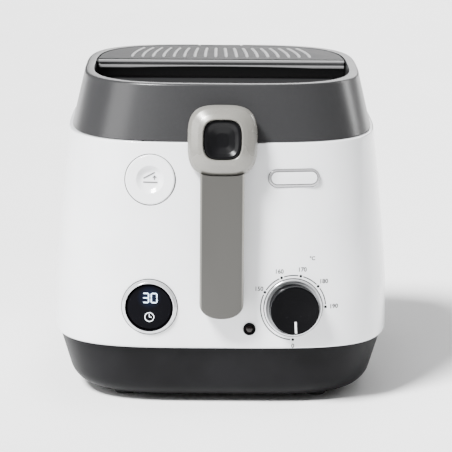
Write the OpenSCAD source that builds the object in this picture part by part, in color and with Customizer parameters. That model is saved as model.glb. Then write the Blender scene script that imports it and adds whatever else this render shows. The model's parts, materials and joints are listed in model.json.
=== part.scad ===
// Deep fryer: a moulded housing on a dark base, a rear-hinged lid with a lift-up
// filter cover, a bowl over a heating plate, and a basket raised by its handle.
// The front faces -Y, the rest plane of the feet is Z = 0.

/* [Plan outline] */
// Widest width of the housing, side to side
body_w = 280; // [266:1:296]
// Greatest depth of the housing, front to back
body_d = 330; // [312:1:346]
// Squareness of the outline at the bottom seam, where 2 is an ellipse
square_low = 4.1; // [3.8:0.1:4.5]
// Squareness of the outline at the rim of the lid
square_high = 3.4; // [3.2:0.1:3.8]

/* [Heights] */
// Height of the feet under the base
foot_h = 5; // [4:0.5:7]
// Height of the dark base above the feet
base_h = 44.6; // [40:0.5:50]
// Height of the white housing
shell_h = 166.4; // [162:0.2:172]
// Seam between the housing and the closed lid
lid_seam = 0.5; // [0.3:0.1:1]
// Height of the lid from its seam to its rim
lid_h = 45.1; // [43:0.1:47]

/* [Walls] */
// Wall of the white housing
shell_wall = 2.6; // [2.2:0.1:3]
// Wall of the lid
lid_wall = 2.4; // [2:0.1:2.8]
// Wall and floor of the base
base_wall = 3; // [2.4:0.1:3.6]
// Wall of the pressed bowl
bowl_wall = 1.6; // [1.2:0.1:2]
// Thickness of the sheet metal parts
sheet_t = 1.2; // [0.8:0.1:1.6]

/* [Side profile] */
// How far the housing draws in from its widest level to its top
shell_taper = 11.6; // [10:0.2:13]
// Height of the upright part of the housing over the bottom seam
upright_h = 38.4; // [34:0.2:44]
// Edge radius at the bottom of the housing
shell_foot_r = 3.2; // [2.6:0.1:3.8]
// Edge radius at the top of the housing
shell_lip_r = 2; // [1.5:0.1:2.4]
// Width of the inward ledge at the top of the housing
ledge_w = 5.4; // [5:0.1:6]
// Set-back of the lid behind the top of the housing
lid_step = 2.6; // [2.2:0.1:3.2]
// How far the lid draws in from its seam to its rim
lid_taper = 10.5; // [9.5:0.1:11.5]
// Radius of the shoulder round the rim of the lid
shoulder_r = 3; // [2.4:0.1:3.6]
// Set-back of the base under the housing
base_step = 3; // [2.6:0.1:3.6]
// How far the base draws in from its seam to the floor
base_flare = 13.5; // [12:0.1:15]
// Edge radius round the bottom of the base
base_edge_r = 13; // [11:0.5:14]

/* [Bowl and basket] */
// Inset of the bowl from the outline, at its rim
bowl_inset = 36; // [35:0.5:38]
// How much further in the bowl is at its bottom
bowl_draft = 10; // [8:0.5:12]
// Depth of the bowl, rim to floor
bowl_depth = 118; // [112:1:122]
// Corner radius round the bowl floor
bowl_floor_r = 20; // [16:1:24]
// Width of the bowl's flange outside its wall
flange_w = 11; // [9:0.5:12]
// Height of the basket from its floor to its rim
basket_h = 78; // [72:1:80]
// Clearance of the basket inside the bowl, at the sides
basket_side_gap = 7; // [6:0.5:9]
// Clearance of the basket inside the bowl, front and back
basket_end_gap = 12; // [11:0.5:14]
// Height of the basket over the bowl floor
basket_lift_off = 14; // [12:1:16]
// Corner radius of the basket in plan
basket_corner_r = 40; // [37:1:44]
// Width of the basket's lattice bars
bar_w = 1.8; // [1.4:0.1:2.2]
// Spacing of the basket's lattice bars
bar_pitch = 15; // [13:0.5:18]
// Radius of the basket's rim wire
rim_wire_r = 2.2; // [1.8:0.1:2.6]

/* [Basket handle] */
// Travel of the basket as the handle is raised
lift_travel = 28; // [25:1:29]
// Width of the handle's ring
ring_w = 55.7; // [52:0.1:58]
// Height of the handle's ring along its own lean
ring_h = 57; // [55:0.5:59]
// Thickness of the handle's ring, back to front
ring_t = 23; // [21:0.5:25]
// Width of the ring's border round its button
ring_border = 12.5; // [11.5:0.1:13.5]
// Wall of the ring's moulding
ring_wall = 2.4; // [2:0.1:2.8]
// How far the ring leans back, in degrees
ring_lean = 12; // [11:0.5:13]
// Clearance of the ring's back from the lip of the housing
ring_gap = 1.5; // [1:0.1:2.5]
// Height of the middle of the ring's back over the top of the housing
ring_rise = 1.3; // [0.5:0.1:2.5]
// Width of the grip
grip_w = 34.2; // [32:0.1:36]
// Thickness of the grip
grip_t = 15; // [13:0.5:17]
// Height of the grip's lower end over the bottom seam
grip_low_rise = 27.4; // [21:0.2:34]
// Corner radius at the grip's lower end
grip_corner_r = 11; // [8:0.5:13]
// Radius of the pivot pin
pivot_r = 2; // [1.8:0.1:2.4]
// Travel of the release button in the ring
release_travel = 2; // [1.5:0.1:2.2]

/* [Front controls] */
// Distance of the controls from the middle of the front
control_x = 58; // [56:0.5:60]
// Depth of the lid button's middle under the top of the housing
lid_button_drop = 30; // [28:0.5:32]
// Diameter of the lid button
lid_button_d = 40.4; // [38:0.2:42]
// Travel of the lid button
lid_button_travel = 2.5; // [2:0.1:2.5]
// Height of the timer and the dial over the bottom seam
dial_rise = 33.9; // [31:0.1:36]
// Diameter of the timer's lens
timer_lens_d = 37; // [35:0.5:39]
// Outer diameter of the timer's bezel
timer_bezel_d = 44.7; // [43:0.1:46]
// Travel of the timer's lens when it is pushed
timer_travel = 1.2; // [0.8:0.1:1.4]
// Diameter of the temperature knob
knob_d = 40; // [38:0.5:42]
// Height of the temperature knob over the housing
knob_h = 13; // [11:0.5:15]
// Outer diameter of the pale dish round the knob
dial_dish_d = 47; // [45:0.5:48.5]
// Diameter of the thermostat's shaft
shaft_d = 6; // [5:0.1:7]
// Distance of the indicator from the middle of the front
lamp_x = 22.8; // [21:0.1:25]
// Height of the indicator over the bottom seam
lamp_rise = 16.4; // [13:0.1:18]
// Outer diameter of the indicator
lamp_d = 10.3; // [9:0.1:11]
// Depth of the bare badge place's middle under the top of the housing
badge_drop = 28; // [25:0.5:31]
// Length of the bare badge place
badge_w = 41.7; // [38:0.1:44]
// Height of the bare badge place, edge to edge
badge_h = 14; // [12:0.1:15]

/* [Lid] */
// Width of the flat rim round the top of the lid
rim_w = 6; // [5.4:0.1:6.6]
// Height of the rim over the lowest line of the front well
well_drop = 16.5; // [15:0.1:17]
// Depth of the filter pocket under the rim
pocket_drop = 22; // [20:0.5:23]
// Distance of the filter cover's front edge behind the middle
cover_front_y = 19; // [16:0.5:24]
// Overhang of the filter cover over the well
cover_overhang = 12; // [10:0.5:14]
// Thickness of the filter cover
cover_t = 2.4; // [2:0.1:2.6]
// Gap round the filter cover
cover_gap = 1.2; // [1:0.1:1.5]
// Number of raised ribs on the filter cover
rib_count = 18; // [14:2:20]
// Spacing of the ribs
rib_pitch = 9.13; // [8.5:0.1:9.6]
// Width of a rib
rib_w = 3; // [2.4:0.1:3.6]
// Height of a rib
rib_h = 0.9; // [0.6:0.1:1.2]
// Distance of the ribs' front ends behind the cover's front edge
rib_start = 24; // [20:1:28]
// Length of the ribs
rib_len = 69; // [60:1:72]
// Width of the filter cover's rear tab
tab_w = 36.6; // [34:0.2:40]
// Radius of the filter cover's hinge pin
cover_pin_r = 1.2; // [1:0.1:1.3]
// Radius of the lid's hinge pin
hinge_pin_r = 2.5; // [2.2:0.1:2.8]
// Radius of the lid's hinge knuckles
knuckle_r = 5.5; // [5:0.1:5.8]

/* [Feet] */
// Diameter of a foot
foot_d = 17; // [15:0.5:19]
// Distance of the feet's middles from the sides of the housing
foot_side = 61; // [58:1:68]
// Distance of the feet's middles from the ends of the housing
foot_end = 53; // [49:1:60]

/* [Hidden] */

// Clearances
slide_gap = 0.3;
seat_gap = 0.2;
pin_gap = 0.06;
ring_steps = 56;
$fn = 64;

// Outline and levels
half_w = body_w / 2;
half_d = body_d / 2;
base_top = foot_h + base_h;
shell_top = base_top + shell_h;
widest_z = base_top + upright_h;
lid_low = shell_top + lid_seam;
rim_top = lid_low + lid_h;
taper_power = 1.2;
foot_x = half_w - foot_side;
foot_y = half_d - foot_end;
dial_z = base_top + dial_rise;
lamp_z = base_top + lamp_rise;
grip_low_z = base_top + grip_low_rise;
lid_button_z = shell_top - lid_button_drop;
badge_z = shell_top - badge_drop;
ring_z = shell_top + ring_rise;

function signed_power(v, e) = (v < 0 ? -1 : 1) * pow(abs(v), e);
function squareness(z) =
    square_low + (square_high - square_low) * (z - base_top) / (rim_top - base_top);
function oval(a, b, n, z, steps) = [
    for (i = [0:steps - 1])
        let (t = 360 * i / steps)
            [a * signed_power(cos(t), 2 / n), b * signed_power(sin(t), 2 / n), z]
];
function outline(inset, z) = oval(half_w - inset, half_d - inset, squareness(z), z, ring_steps);
function flat(points) = [for (p = points) [p[0], p[1]]];

function shell_inset(z) =
    z <= widest_z ? 0 : shell_taper * pow((z - widest_z) / (shell_top - widest_z), taper_power);
function lid_inset(z) = shell_taper + lid_step + lid_taper * (z - lid_low) / lid_h;
function base_inset(z) = base_step + base_flare * (base_top - z) / base_h;
function skin_inset(z) = z > shell_top ? lid_inset(z) : shell_inset(z);

// Front surface of the housing at a place, and how it is turned there
function front_y(x, z, deeper = 0) =
    let (i = skin_inset(z) + deeper, n = squareness(z))
        -(half_d - i) * pow(1 - pow(abs(x) / (half_w - i), n), 1 / n);
function front_yaw(x, z) = atan((front_y(x + 1, z) - front_y(x - 1, z)) / 2);
function front_pitch(x, z) = atan((front_y(x, z + 1) - front_y(x, z - 1)) / 2);

// Closed body from rings of equal count; a loop of rings has no end faces
module rings_body(rings, loop = false) {
    m = len(rings);
    k = len(rings[0]);
    last = loop ? m - 1 : m - 2;
    sides = [
        for (i = [0:last], j = [0:k - 1])
            let (a = i * k + j, b = i * k + (j + 1) % k)
                let (d = ((i + 1) % m) * k + j, c = ((i + 1) % m) * k + (j + 1) % k)
                    each [[a, d, c], [a, c, b]]
    ];
    low_cap = [[for (j = [0:k - 1]) j]];
    high_cap = [[for (j = [k - 1:-1:0]) (m - 1) * k + j]];
    polyhedron(
        points = [for (r = rings) each r],
        faces = loop ? sides : concat(sides, low_cap, high_cap)
    );
}
module lofted(profile, loop = false) {
    rings_body([for (p = profile) outline(p[0], p[1])], loop);
}
// Upright slab between two levels, with the outline at an inset
module slab(inset, z_low, z_high) {
    translate([0, 0, z_low])
        linear_extrude(z_high - z_low)
            polygon(flat(outline(inset, z_low)));
}
// Rounded rectangle in plan, centred
module round_rect(w, h, r) {
    square([w - 2 * r, h], center = true);
    square([w, h - 2 * r], center = true);
    for (x = [-1, 1], y = [-1, 1])
        translate([x * (w / 2 - r), y * (h / 2 - r)])
            circle(r);
}
// A point behind the front surface, straight in from a place on it
function on_front_point(x, z, depth) =
    let (w = front_yaw(x, z), p = front_pitch(x, z))
        [x - depth * sin(w) * cos(p), front_y(x, z) + depth * cos(w) * cos(p), z - depth * sin(p)];
// Places children on the front, with their -Y along the outward normal
module on_front(x, z) {
    translate([x, front_y(x, z), z])
        rotate([0, 0, front_yaw(x, z)])
            rotate([-front_pitch(x, z), 0, 0])
                children();
}
// Round bar along Y between two depths
module bar_y(r, from, to) {
    translate([0, from, 0])
        rotate([-90, 0, 0])
            cylinder(r = r, h = to - from);
}
// Round bar along X, centred
module bar_x(r, length) {
    rotate([0, 90, 0])
        cylinder(r = r, h = length, center = true);
}
// Profile revolved about the Y axis: points are [radius, depth]
module turned_y(profile) {
    rotate([-90, 0, 0])
        rotate_extrude()
            polygon(profile);
}
// Moves a piece so that the whole fryer, handle included, stands centred on the origin
module centred() {
    translate([0, (front_reach - half_d) / 2, 0])
        children();
}
// Slab standing in the XZ plane between two depths
module plate_y(from, to) {
    translate([0, to, 0])
        rotate([90, 0, 0])
            linear_extrude(to - from)
                children();
}
// Side view in Y and Z, given thickness along X, centred
module plate_x(width) {
    rotate([90, 0, 90])
        linear_extrude(width, center = true)
            children();
}
// Helical wire along Z from 0 to its length
module coil(r, wire_r, length, turns) {
    steps = 10;
    sides = 6;
    count = turns * steps;
    rings = [
        for (i = [0:count])
            let (t = 360 * i / steps, z = wire_r + (length - 2 * wire_r) * i / count)
                [for (j = [0:sides - 1])
                    let (u = 360 * j / sides, q = r + wire_r * cos(u))
                        [q * cos(t), q * sin(t), z + wire_r * sin(u)]]
    ];
    mirror([0, 1, 0])
        rings_body(rings);
}

// Base ------------------------------------------------------------------

shell_foot_inset = shell_foot_r + 2.4;
shell_foot_h = 4;
base_lip_t = 2.2;
base_lip_h = 6;
boss_r = 5.5;
screw_r = 1.6;
screw_head_r = 3.4;
screw_head_h = 2.2;
boss_x = half_w - 68;
boss_y = half_d - 81;
boss_top = foot_h + 26;
foot_seat = 1.4;
screw_seat = foot_h + 1;
gland_x = half_w - 78;
gland_z = foot_h + 23;
gland_r = 7;
cord_r = 4;
gland_flange_r = gland_r + 3;
gland_flange_y = 0.4;
vent_len = 46;
vent_w = 4;
vent_pitch = 9;
vent_count = 7;

function at_corners(x, y) = [[-x, -y], [x, -y], [-x, y], [x, y]];

module base_tray() {
    floor_in = base_inset(foot_h) + base_edge_r;
    color("#35363a") centred()
        difference() {
            union() {
                lofted([
                    for (a = [0:30:90])
                        [base_inset(foot_h + base_edge_r * (1 - cos(a))) + base_edge_r * (1 - sin(a)),
                            foot_h + base_edge_r * (1 - cos(a))],
                    [base_step, base_top],
                    [shell_foot_inset + slide_gap, base_top],
                    [shell_foot_inset + slide_gap, base_top + base_lip_h],
                    [shell_foot_inset + slide_gap + base_lip_t, base_top + base_lip_h],
                    [shell_foot_inset + slide_gap + base_lip_t, base_top - 1],
                    [base_inset(foot_h + base_edge_r) + base_wall, foot_h + base_edge_r],
                    [floor_in, foot_h + base_wall]
                ]);
                for (p = at_corners(boss_x, boss_y))
                    translate([p[0], p[1], foot_h + base_wall / 2])
                        cylinder(r = boss_r, h = boss_top - foot_h - base_wall / 2);
            }
            for (p = at_corners(boss_x, boss_y))
                translate([p[0], p[1], 0]) {
                    cylinder(r = screw_r + slide_gap, h = boss_top + 1);
                    cylinder(r = screw_head_r + slide_gap, h = screw_seat + screw_head_h + seat_gap);
                }
            for (p = at_corners(foot_x, foot_y))
                translate([p[0], p[1], 0])
                    cylinder(r = foot_d / 2 + seat_gap, h = foot_h + foot_seat);
            for (i = [0:vent_count - 1])
                translate([-vent_len / 2, (i - (vent_count - 1) / 2) * vent_pitch - vent_w / 2, 0])
                    cube([vent_len, vent_w, foot_h + 2 * base_wall]);
            gland_place() {
                bar_y(gland_r + seat_gap, -6 * base_wall, 2 * base_wall);
                bar_y(gland_flange_r + 2 * seat_gap, gland_flange_y - seat_gap, 3 * base_wall);
            }
        }
}

// Rear of the base where the cord would leave, -Y pointing into the base
module gland_place() {
    n = squareness(gland_z);
    i = base_inset(gland_z);
    y = (half_d - i) * pow(1 - pow(gland_x / (half_w - i), n), 1 / n);
    translate([gland_x, y, gland_z])
        children();
}
module cord_gland() {
    color("#2b2c2f") centred()
        gland_place()
            turned_y([
                [cord_r, -14], [gland_r, -14], [gland_r, gland_flange_y], [gland_flange_r, gland_flange_y],
                [gland_flange_r, gland_flange_y + 2], [cord_r + 2.5, 5], [cord_r + 1.5, 5], [cord_r, 3]
            ]);
}

module foot(x, y) {
    color("#1d1d1f") centred()
        translate([x, y, 0])
            rotate_extrude()
                polygon([
                    [0, 0.8], [foot_d / 2 - 4, 0.8], [foot_d / 2 - 4.6, 0], [foot_d / 2 - 1, 0],
                    [foot_d / 2, 1], [foot_d / 2, foot_h + foot_seat - seat_gap],
                    [0, foot_h + foot_seat - seat_gap]
                ]);
}
module foot_front_left() { foot(-foot_x, -foot_y); }
module foot_front_right() { foot(foot_x, -foot_y); }
module foot_rear_left() { foot(-foot_x, foot_y); }
module foot_rear_right() { foot(foot_x, foot_y); }

// Pan-head screw, head down at 0 and its shank up Z
module screw(length) {
    difference() {
        union() {
            cylinder(r = screw_head_r, h = screw_head_h);
            cylinder(r = screw_r, h = length);
        }
        for (a = [0, 90])
            rotate([0, 0, a])
                translate([-screw_head_r * 0.6, -0.4, -1])
                    cube([screw_head_r * 1.2, 0.8, 2]);
    }
}
module base_screws() {
    color("#9a9da1") centred()
        for (p = at_corners(boss_x, boss_y))
            translate([p[0], p[1], screw_seat])
                screw(boss_top - foot_h + 6);
}

// Housing ---------------------------------------------------------------

badge_seat = 1.2;
notch_w = 24;
neck_t = 3;
collar_t = 2.5;
flange_top = shell_top - 6;
flange_t = 2;
neck_z = flange_top + 2;
notch_low = neck_z - 1.2;
notch_top = neck_z + neck_t + lift_travel + 1.2;
timer_hole_r = timer_lens_d / 2 + 1.6;
dish_hole_r = knob_d / 2 - 2;
bezel_seat = 1.4;
guide_x = 26;
guide_post_r = 3.2;
guide_depth = 10;
guide_t = 2.5;
latch_w = 10;
latch_x = -control_x;
latch_z = lid_button_z + 17;
striker_y = front_y(latch_x, shell_top, ledge_w) + 5.2;
latch_y = striker_y + 2;
latch_r = 3.4;
latch_pin_r = 1.5;
cheek_t = 2;
cheek_x = latch_w / 2 + slide_gap + cheek_t / 2 + 0.4;

module shell_profile() {
    top_in = shell_inset(shell_top);
    lofted([
        for (a = [0:45:90]) [shell_foot_r * (1 - sin(a)), base_top + shell_foot_r * (1 - cos(a))],
        for (f = [0, 0.33, 0.62, 0.86])
            let (z = widest_z + f * (shell_top - widest_z)) [shell_inset(z), z],
        for (a = [0:45:90])
            [top_in + shell_lip_r * (1 - cos(a)), shell_top - shell_lip_r * (1 - sin(a))],
        [top_in + ledge_w, shell_top],
        [top_in + ledge_w, shell_top - shell_wall],
        [top_in + shell_wall, shell_top - shell_wall],
        for (f = [0.62, 0.3, 0])
            let (z = widest_z + f * (shell_top - widest_z)) [shell_inset(z) + shell_wall, z],
        [shell_wall, base_top + 2 * shell_foot_h],
        [shell_foot_inset, base_top + shell_foot_h],
        [shell_foot_inset, base_top]
    ], loop = true);
}
// Hinge lug in side view, round the pin and down to the rear wall
hinge_y = half_d - shell_taper + 5.1;
hinge_z = shell_top + 4;
lug_t = 8;
knuckle_t = 7;
knuckle_x = 30;
lug_x = knuckle_x + (knuckle_t + lug_t) / 2 + slide_gap;
module hinge_lug() {
    root_z = hinge_z - 16;
    wall_y = half_d - shell_inset(root_z) - 1;
    difference() {
        union() {
            translate([0, hinge_y, hinge_z])
                bar_x(knuckle_r, lug_t);
            plate_x(lug_t)
                polygon([
                    [wall_y, root_z - 8], [wall_y, root_z + 9], [hinge_y - knuckle_r + 0.1, hinge_z - 2],
                    [hinge_y - knuckle_r + 0.1, hinge_z], [hinge_y + knuckle_r - 0.1, hinge_z]
                ]);
        }
        translate([0, hinge_y, hinge_z])
            bar_x(hinge_pin_r + pin_gap, lug_t + 2);
    }
}
module body_shell() {
    color("#eeeff0") centred()
        difference() {
            union() {
                shell_profile();
                for (s = [-1, 1])
                    translate([s * lug_x, 0, 0])
                        hinge_lug();
                on_front(-control_x, lid_button_z)
                    for (s = [-1, 1])
                        translate([s * guide_x, 0, 0])
                            bar_y(guide_post_r, shell_wall + 0.4, guide_depth);
            }
            on_front(-control_x, lid_button_z)
                bar_y(lid_button_d / 2 + 0.5, -4, 2 * shell_wall);
            on_front(-control_x, dial_z) {
                bar_y(timer_hole_r, -4, 4 * shell_wall);
                bar_y(timer_bezel_d / 2 + seat_gap, -4, bezel_seat);
            }
            on_front(control_x, dial_z) {
                bar_y(dish_hole_r, -4, 4 * shell_wall);
                bar_y(dial_dish_d / 2 + seat_gap, -4, bezel_seat);
            }
            on_front(lamp_x, lamp_z)
                bar_y(lamp_d / 2 - 1 + seat_gap, -4, 3 * shell_wall);
            on_front(control_x, badge_z)
                plate_y(-2, badge_seat)
                    round_rect(badge_w + 2 * seat_gap, badge_h + 2 * seat_gap, badge_h / 2 - 0.1);
            translate([-notch_w / 2 - 2, -half_d, notch_low])
                cube([notch_w + 4, 40, shell_top]);
            translate([latch_x - latch_w / 2 - 2, front_y(latch_x, shell_top, shell_wall + 0.2), shell_top - 2 * shell_wall])
                cube([latch_w + 4, 20, 20]);
        }
}
module badge_rim() {
    color("#e9eaeb") centred()
        on_front(control_x, badge_z)
            difference() {
                plate_y(-0.9, badge_seat - seat_gap)
                    round_rect(badge_w, badge_h, badge_h / 2 - 0.1);
                plate_y(-1, -0.1)
                    round_rect(badge_w - 3, badge_h - 3, badge_h / 2 - 1.6);
            }
}
module inner_collar() {
    outer_in = shell_inset(flange_top) + shell_wall + 2 * slide_gap;
    z_top = flange_top - flange_t;
    color("#4a4b4e") centred()
        difference() {
            slab(outer_in, z_top - collar_t, z_top);
            slab(bowl_inset - bowl_wall - 1, z_top - collar_t - 1, z_top + 1);
            translate([latch_x - cheek_x - cheek_t, -half_d, z_top - 2 * collar_t])
                cube([2 * (cheek_x + cheek_t), half_d + latch_y + latch_r + 1, 4 * collar_t]);
        }
}

// Bowl and heater ---------------------------------------------------------

bowl_low = flange_top - bowl_depth;
function bowl_out(z) = bowl_inset + bowl_draft * (flange_top - z) / bowl_depth;
module bowl() {
    r = bowl_floor_r;
    color("#5a5b5e") centred()
        lofted([
            for (a = [0:30:90])
                [bowl_out(bowl_low) + r * (1 - sin(a)), bowl_low - bowl_wall + r * (1 - cos(a))],
            [bowl_out(flange_top - flange_t), flange_top - flange_t],
            [bowl_inset - flange_w, flange_top - flange_t],
            [bowl_inset - flange_w, flange_top],
            [bowl_inset + bowl_wall, flange_top],
            for (a = [90:-30:0])
                [bowl_out(bowl_low) + bowl_wall + (r - bowl_wall) * (1 - sin(a)),
                    bowl_low + (r - bowl_wall) * (1 - cos(a))]
        ]);
}

heater_r = 70;
heater_t = 6;
element_r = 50;
sheath_r = 3.3;
heater_top = bowl_low - bowl_wall - seat_gap;
heater_low = heater_top - heater_t;
element_z = heater_low - sheath_r - seat_gap;
shield_z = element_z - sheath_r - 9;
shield_wall_h = 6;
standoff_r = 63;
pillar_r = 4.5;
terminal_gap = 14;
module heater_plate() {
    color("#b5b8bb") centred()
        translate([0, 0, heater_low])
            difference() {
                cylinder(r = heater_r, h = heater_t, $fn = 96);
                translate([0, 0, -1])
                    cylinder(r = 9, h = heater_t + 2);
            }
}
module heating_element() {
    sweep = 360 - 2 * terminal_gap;
    color("#7d7f82") centred()
        translate([0, 0, element_z]) {
            rotate([0, 0, -90 + terminal_gap])
                rotate_extrude(angle = sweep, $fn = 96)
                    translate([element_r, 0])
                        circle(sheath_r, $fn = 24);
            for (s = [-1, 1])
                rotate([0, 0, -90 + s * terminal_gap])
                    translate([element_r, 0, 0]) {
                        sphere(sheath_r, $fn = 24);
                        translate([0, 0, -7])
                            cylinder(r = sheath_r * 0.6, h = 7, $fn = 24);
                    }
        }
}
module heater_bracket() {
    strap_w = 14;
    color("#a9acaf") centred()
        difference() {
            union() {
                for (p = at_corners(boss_x, boss_y))
                    translate([p[0], p[1], boss_top + seat_gap])
                        cylinder(r = pillar_r, h = shield_z - 2 * sheet_t - boss_top - seat_gap);
                for (s = [-1, 1])
                    translate([0, s * boss_y, shield_z - 3 * sheet_t / 2])
                        cube([2 * boss_x + strap_w, strap_w, sheet_t], center = true);
                for (s = [-1, 1])
                    translate([s * boss_x, 0, shield_z - 3 * sheet_t / 2])
                        cube([strap_w, 2 * boss_y, sheet_t], center = true);
            }
            for (p = at_corners(boss_x, boss_y))
                translate([p[0], p[1], boss_top - 1])
                    cylinder(r = screw_r + pin_gap, h = 16);
        }
}
module heat_shield() {
    color("#c3c6c9") centred()
        difference() {
            union() {
                slab(bowl_inset + 14, shield_z - sheet_t + seat_gap, shield_z);
                difference() {
                    slab(bowl_inset + 14, shield_z - 0.1, shield_z + shield_wall_h);
                    slab(bowl_inset + 14 + sheet_t, shield_z - 1, shield_z + shield_wall_h + 1);
                }
                for (a = [30, 150, 270])
                    rotate([0, 0, a])
                        translate([standoff_r, 0, shield_z - 0.1])
                            cylinder(r = 3.5, h = heater_low - shield_z - seat_gap + 0.1);
            }
            for (s = [-1, 1])
                rotate([0, 0, -90 + s * terminal_gap])
                    translate([element_r, 0, shield_z - 3])
                        cylinder(r = 4, h = 6);
        }
}
module thermal_cutout() {
    color("#d8d4c8") centred()
        translate([24, 14, heater_low - seat_gap]) {
            mirror([0, 0, 1])
                cylinder(r = 8, h = 3);
            mirror([0, 0, 1])
                cylinder(r = 6, h = 9);
            for (s = [-1, 1])
                translate([s * 9.5, 0, -1.2])
                    cube([6, 3, 0.8], center = true);
        }
}

// Temperature dial ---------------------------------------------------------

shaft_r = shaft_d / 2;
stat_depth = 9;
stat_w = 34;
stat_h = 30;
stat_t = 20;
module dial_dish() {
    outer_r = dial_dish_d / 2;
    color("#dfe1e3") centred()
        on_front(control_x, dial_z)
            turned_y([
                [shaft_r + 2, shell_wall + 3], [shaft_r + 2, shell_wall + 1], [dish_hole_r - 3, shell_wall + 1],
                [dish_hole_r - 3, 1.2], [knob_d / 2 + 0.6, 0.2], [outer_r - 0.8, -1.3], [outer_r, -0.6],
                [outer_r, bezel_seat - seat_gap], [dish_hole_r - seat_gap, bezel_seat - seat_gap],
                [dish_hole_r - seat_gap, shell_wall + 3]
            ]);
}
module temperature_knob() {
    r = knob_d / 2;
    color("#141416") centred()
        on_front(control_x, dial_z)
            difference() {
                turned_y([
                    [0, -knob_h + 1.2], [r * 0.55, -knob_h + 0.6], [r - 3.4, -knob_h], [r - 1.8, -knob_h + 0.8],
                    [r - 0.8, -knob_h + 3], [r, -1], [r - 1.6, -1], [r - 3, -knob_h + 4],
                    [shaft_r + 3, -knob_h + 4], [shaft_r + 3, -1], [0, -1]
                ]);
                bar_y(shaft_r + pin_gap, -knob_h + 4, 1);
                translate([-0.8, -knob_h - 1, -r + 2])
                    cube([1.6, 1.8, r * 0.62]);
            }
}
module thermostat_shaft() {
    color("#b9bcc0") centred()
        on_front(control_x, dial_z)
            difference() {
                bar_y(shaft_r, -knob_h + 4.3, stat_depth + 12);
                translate([-shaft_r, -knob_h, shaft_r * 0.6])
                    cube([2 * shaft_r, 10, shaft_r]);
            }
}
module thermostat_body() {
    color("#c9c4b6") centred()
        on_front(control_x, dial_z)
            difference() {
                union() {
                    plate_y(stat_depth, stat_depth + stat_t)
                        square([stat_w, stat_h], center = true);
                    bar_y(shaft_r + 3, stat_depth - 3, stat_depth + 1);
                    for (s = [-1, 1])
                        translate([s * (stat_w / 2 + 4), 0, 0])
                            plate_y(stat_depth, stat_depth + 1.5)
                                square([8.4, 12], center = true);
                }
                bar_y(shaft_r + pin_gap, stat_depth - 8, stat_depth + 12.5);
            }
}
// Route of the thin sensing tube, from the thermostat to under the bowl
tube_r = 1.1;
bulb_r = 2.4;
tube_high = shield_z + shield_wall_h + tube_r + 4;
tube_start = on_front_point(control_x, dial_z, stat_depth + stat_t + 0.6);
tube_end = [-8, -heater_r - 12, bowl_low - bowl_wall - seat_gap - bulb_r];
tube_turn = tube_start + [-2, 5, -0.5];
tube_route = concat(
    [tube_start, tube_turn],
    [for (f = [0.2, 0.35, 0.5, 0.65, 0.8, 0.92])
        let (p = tube_turn + f * (tube_end - tube_turn))
            [p[0], p[1], f < 0.6 ? tube_high : tube_high + (tube_end[2] - tube_high) * (f - 0.6) / 0.35]],
    [tube_end]
);
function tube_dir(path, i) =
    let (a = path[max(i - 1, 0)], b = path[min(i + 1, len(path) - 1)]) (b - a) / norm(b - a);
module capillary_tube() {
    sides = 8;
    rings = [
        for (i = [len(tube_route) - 1:-1:0])
            let (d = tube_dir(tube_route, i), u = cross(d, [0, 0, 1]) / norm(cross(d, [0, 0, 1])), v = cross(u, d))
                [for (j = [0:sides - 1])
                    tube_route[i] + tube_r * (cos(360 * j / sides) * u + sin(360 * j / sides) * v)]
    ];
    color("#b87f4a") centred()
        rings_body(rings);
}
module sensor_bulb() {
    color("#b87f4a") centred()
        translate(tube_end - [seat_gap, 0, 0])
            rotate([0, -90, 0])
                cylinder(r = bulb_r, h = 34);
}

// Timer -------------------------------------------------------------------

timer_r = timer_lens_d / 2;
module timer_bezel() {
    r = timer_bezel_d / 2;
    inner = timer_r + slide_gap;
    color("#d7d9dc") centred()
        on_front(-control_x, dial_z)
            turned_y([
                [inner, -1.2], [inner + 0.9, -2.6], [inner + 1.8, -2.6], [r - 0.6, -0.9], [r, 0],
                [r, bezel_seat - seat_gap], [timer_hole_r - seat_gap, bezel_seat - seat_gap],
                [timer_hole_r - seat_gap, shell_wall + 5], [inner, shell_wall + 5]
            ]);
}
module timer_lens() {
    color("#0b0d12") centred()
        on_front(-control_x, dial_z)
            turned_y([
                [0, -1.5], [timer_r * 0.6, -1.4], [timer_r - 0.8, -1], [timer_r, -0.4], [timer_r, 4],
                [timer_r - 1.6, 4], [timer_r - 1.6, 1], [0, 1]
            ]);
}
timer_back = shell_wall + 5 + seat_gap;
module timer_board() {
    color("#2f6b46") centred()
        on_front(-control_x, dial_z) {
            bar_y(timer_r - 3, timer_back + 1.7, timer_back + 3.3);
            plate_y(timer_travel + 4.3, timer_back + 1.8)
                translate([0, 2])
                    square([18, 12], center = true);
        }
}
module timer_housing() {
    color("#44464a") centred()
        on_front(-control_x, dial_z)
            difference() {
                union() {
                    bar_y(timer_hole_r, timer_back, timer_back + 14);
                    for (s = [-1, 1])
                        translate([s * (timer_hole_r + 3), 0, 0])
                            plate_y(timer_back, timer_back + 2)
                                square([9, 10], center = true);
                }
                bar_y(timer_r - 2.6, timer_back - 1, timer_back + 12);
            }
}
module timer_spring() {
    color("#c9ccd0") centred()
        on_front(-control_x, dial_z)
            translate([0, 1.3, 0])
                rotate([-90, 0, 0])
                    coil(timer_r - 5.2, 0.35, timer_back + 0.1, 2);
}

// Indicator -----------------------------------------------------------------

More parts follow.
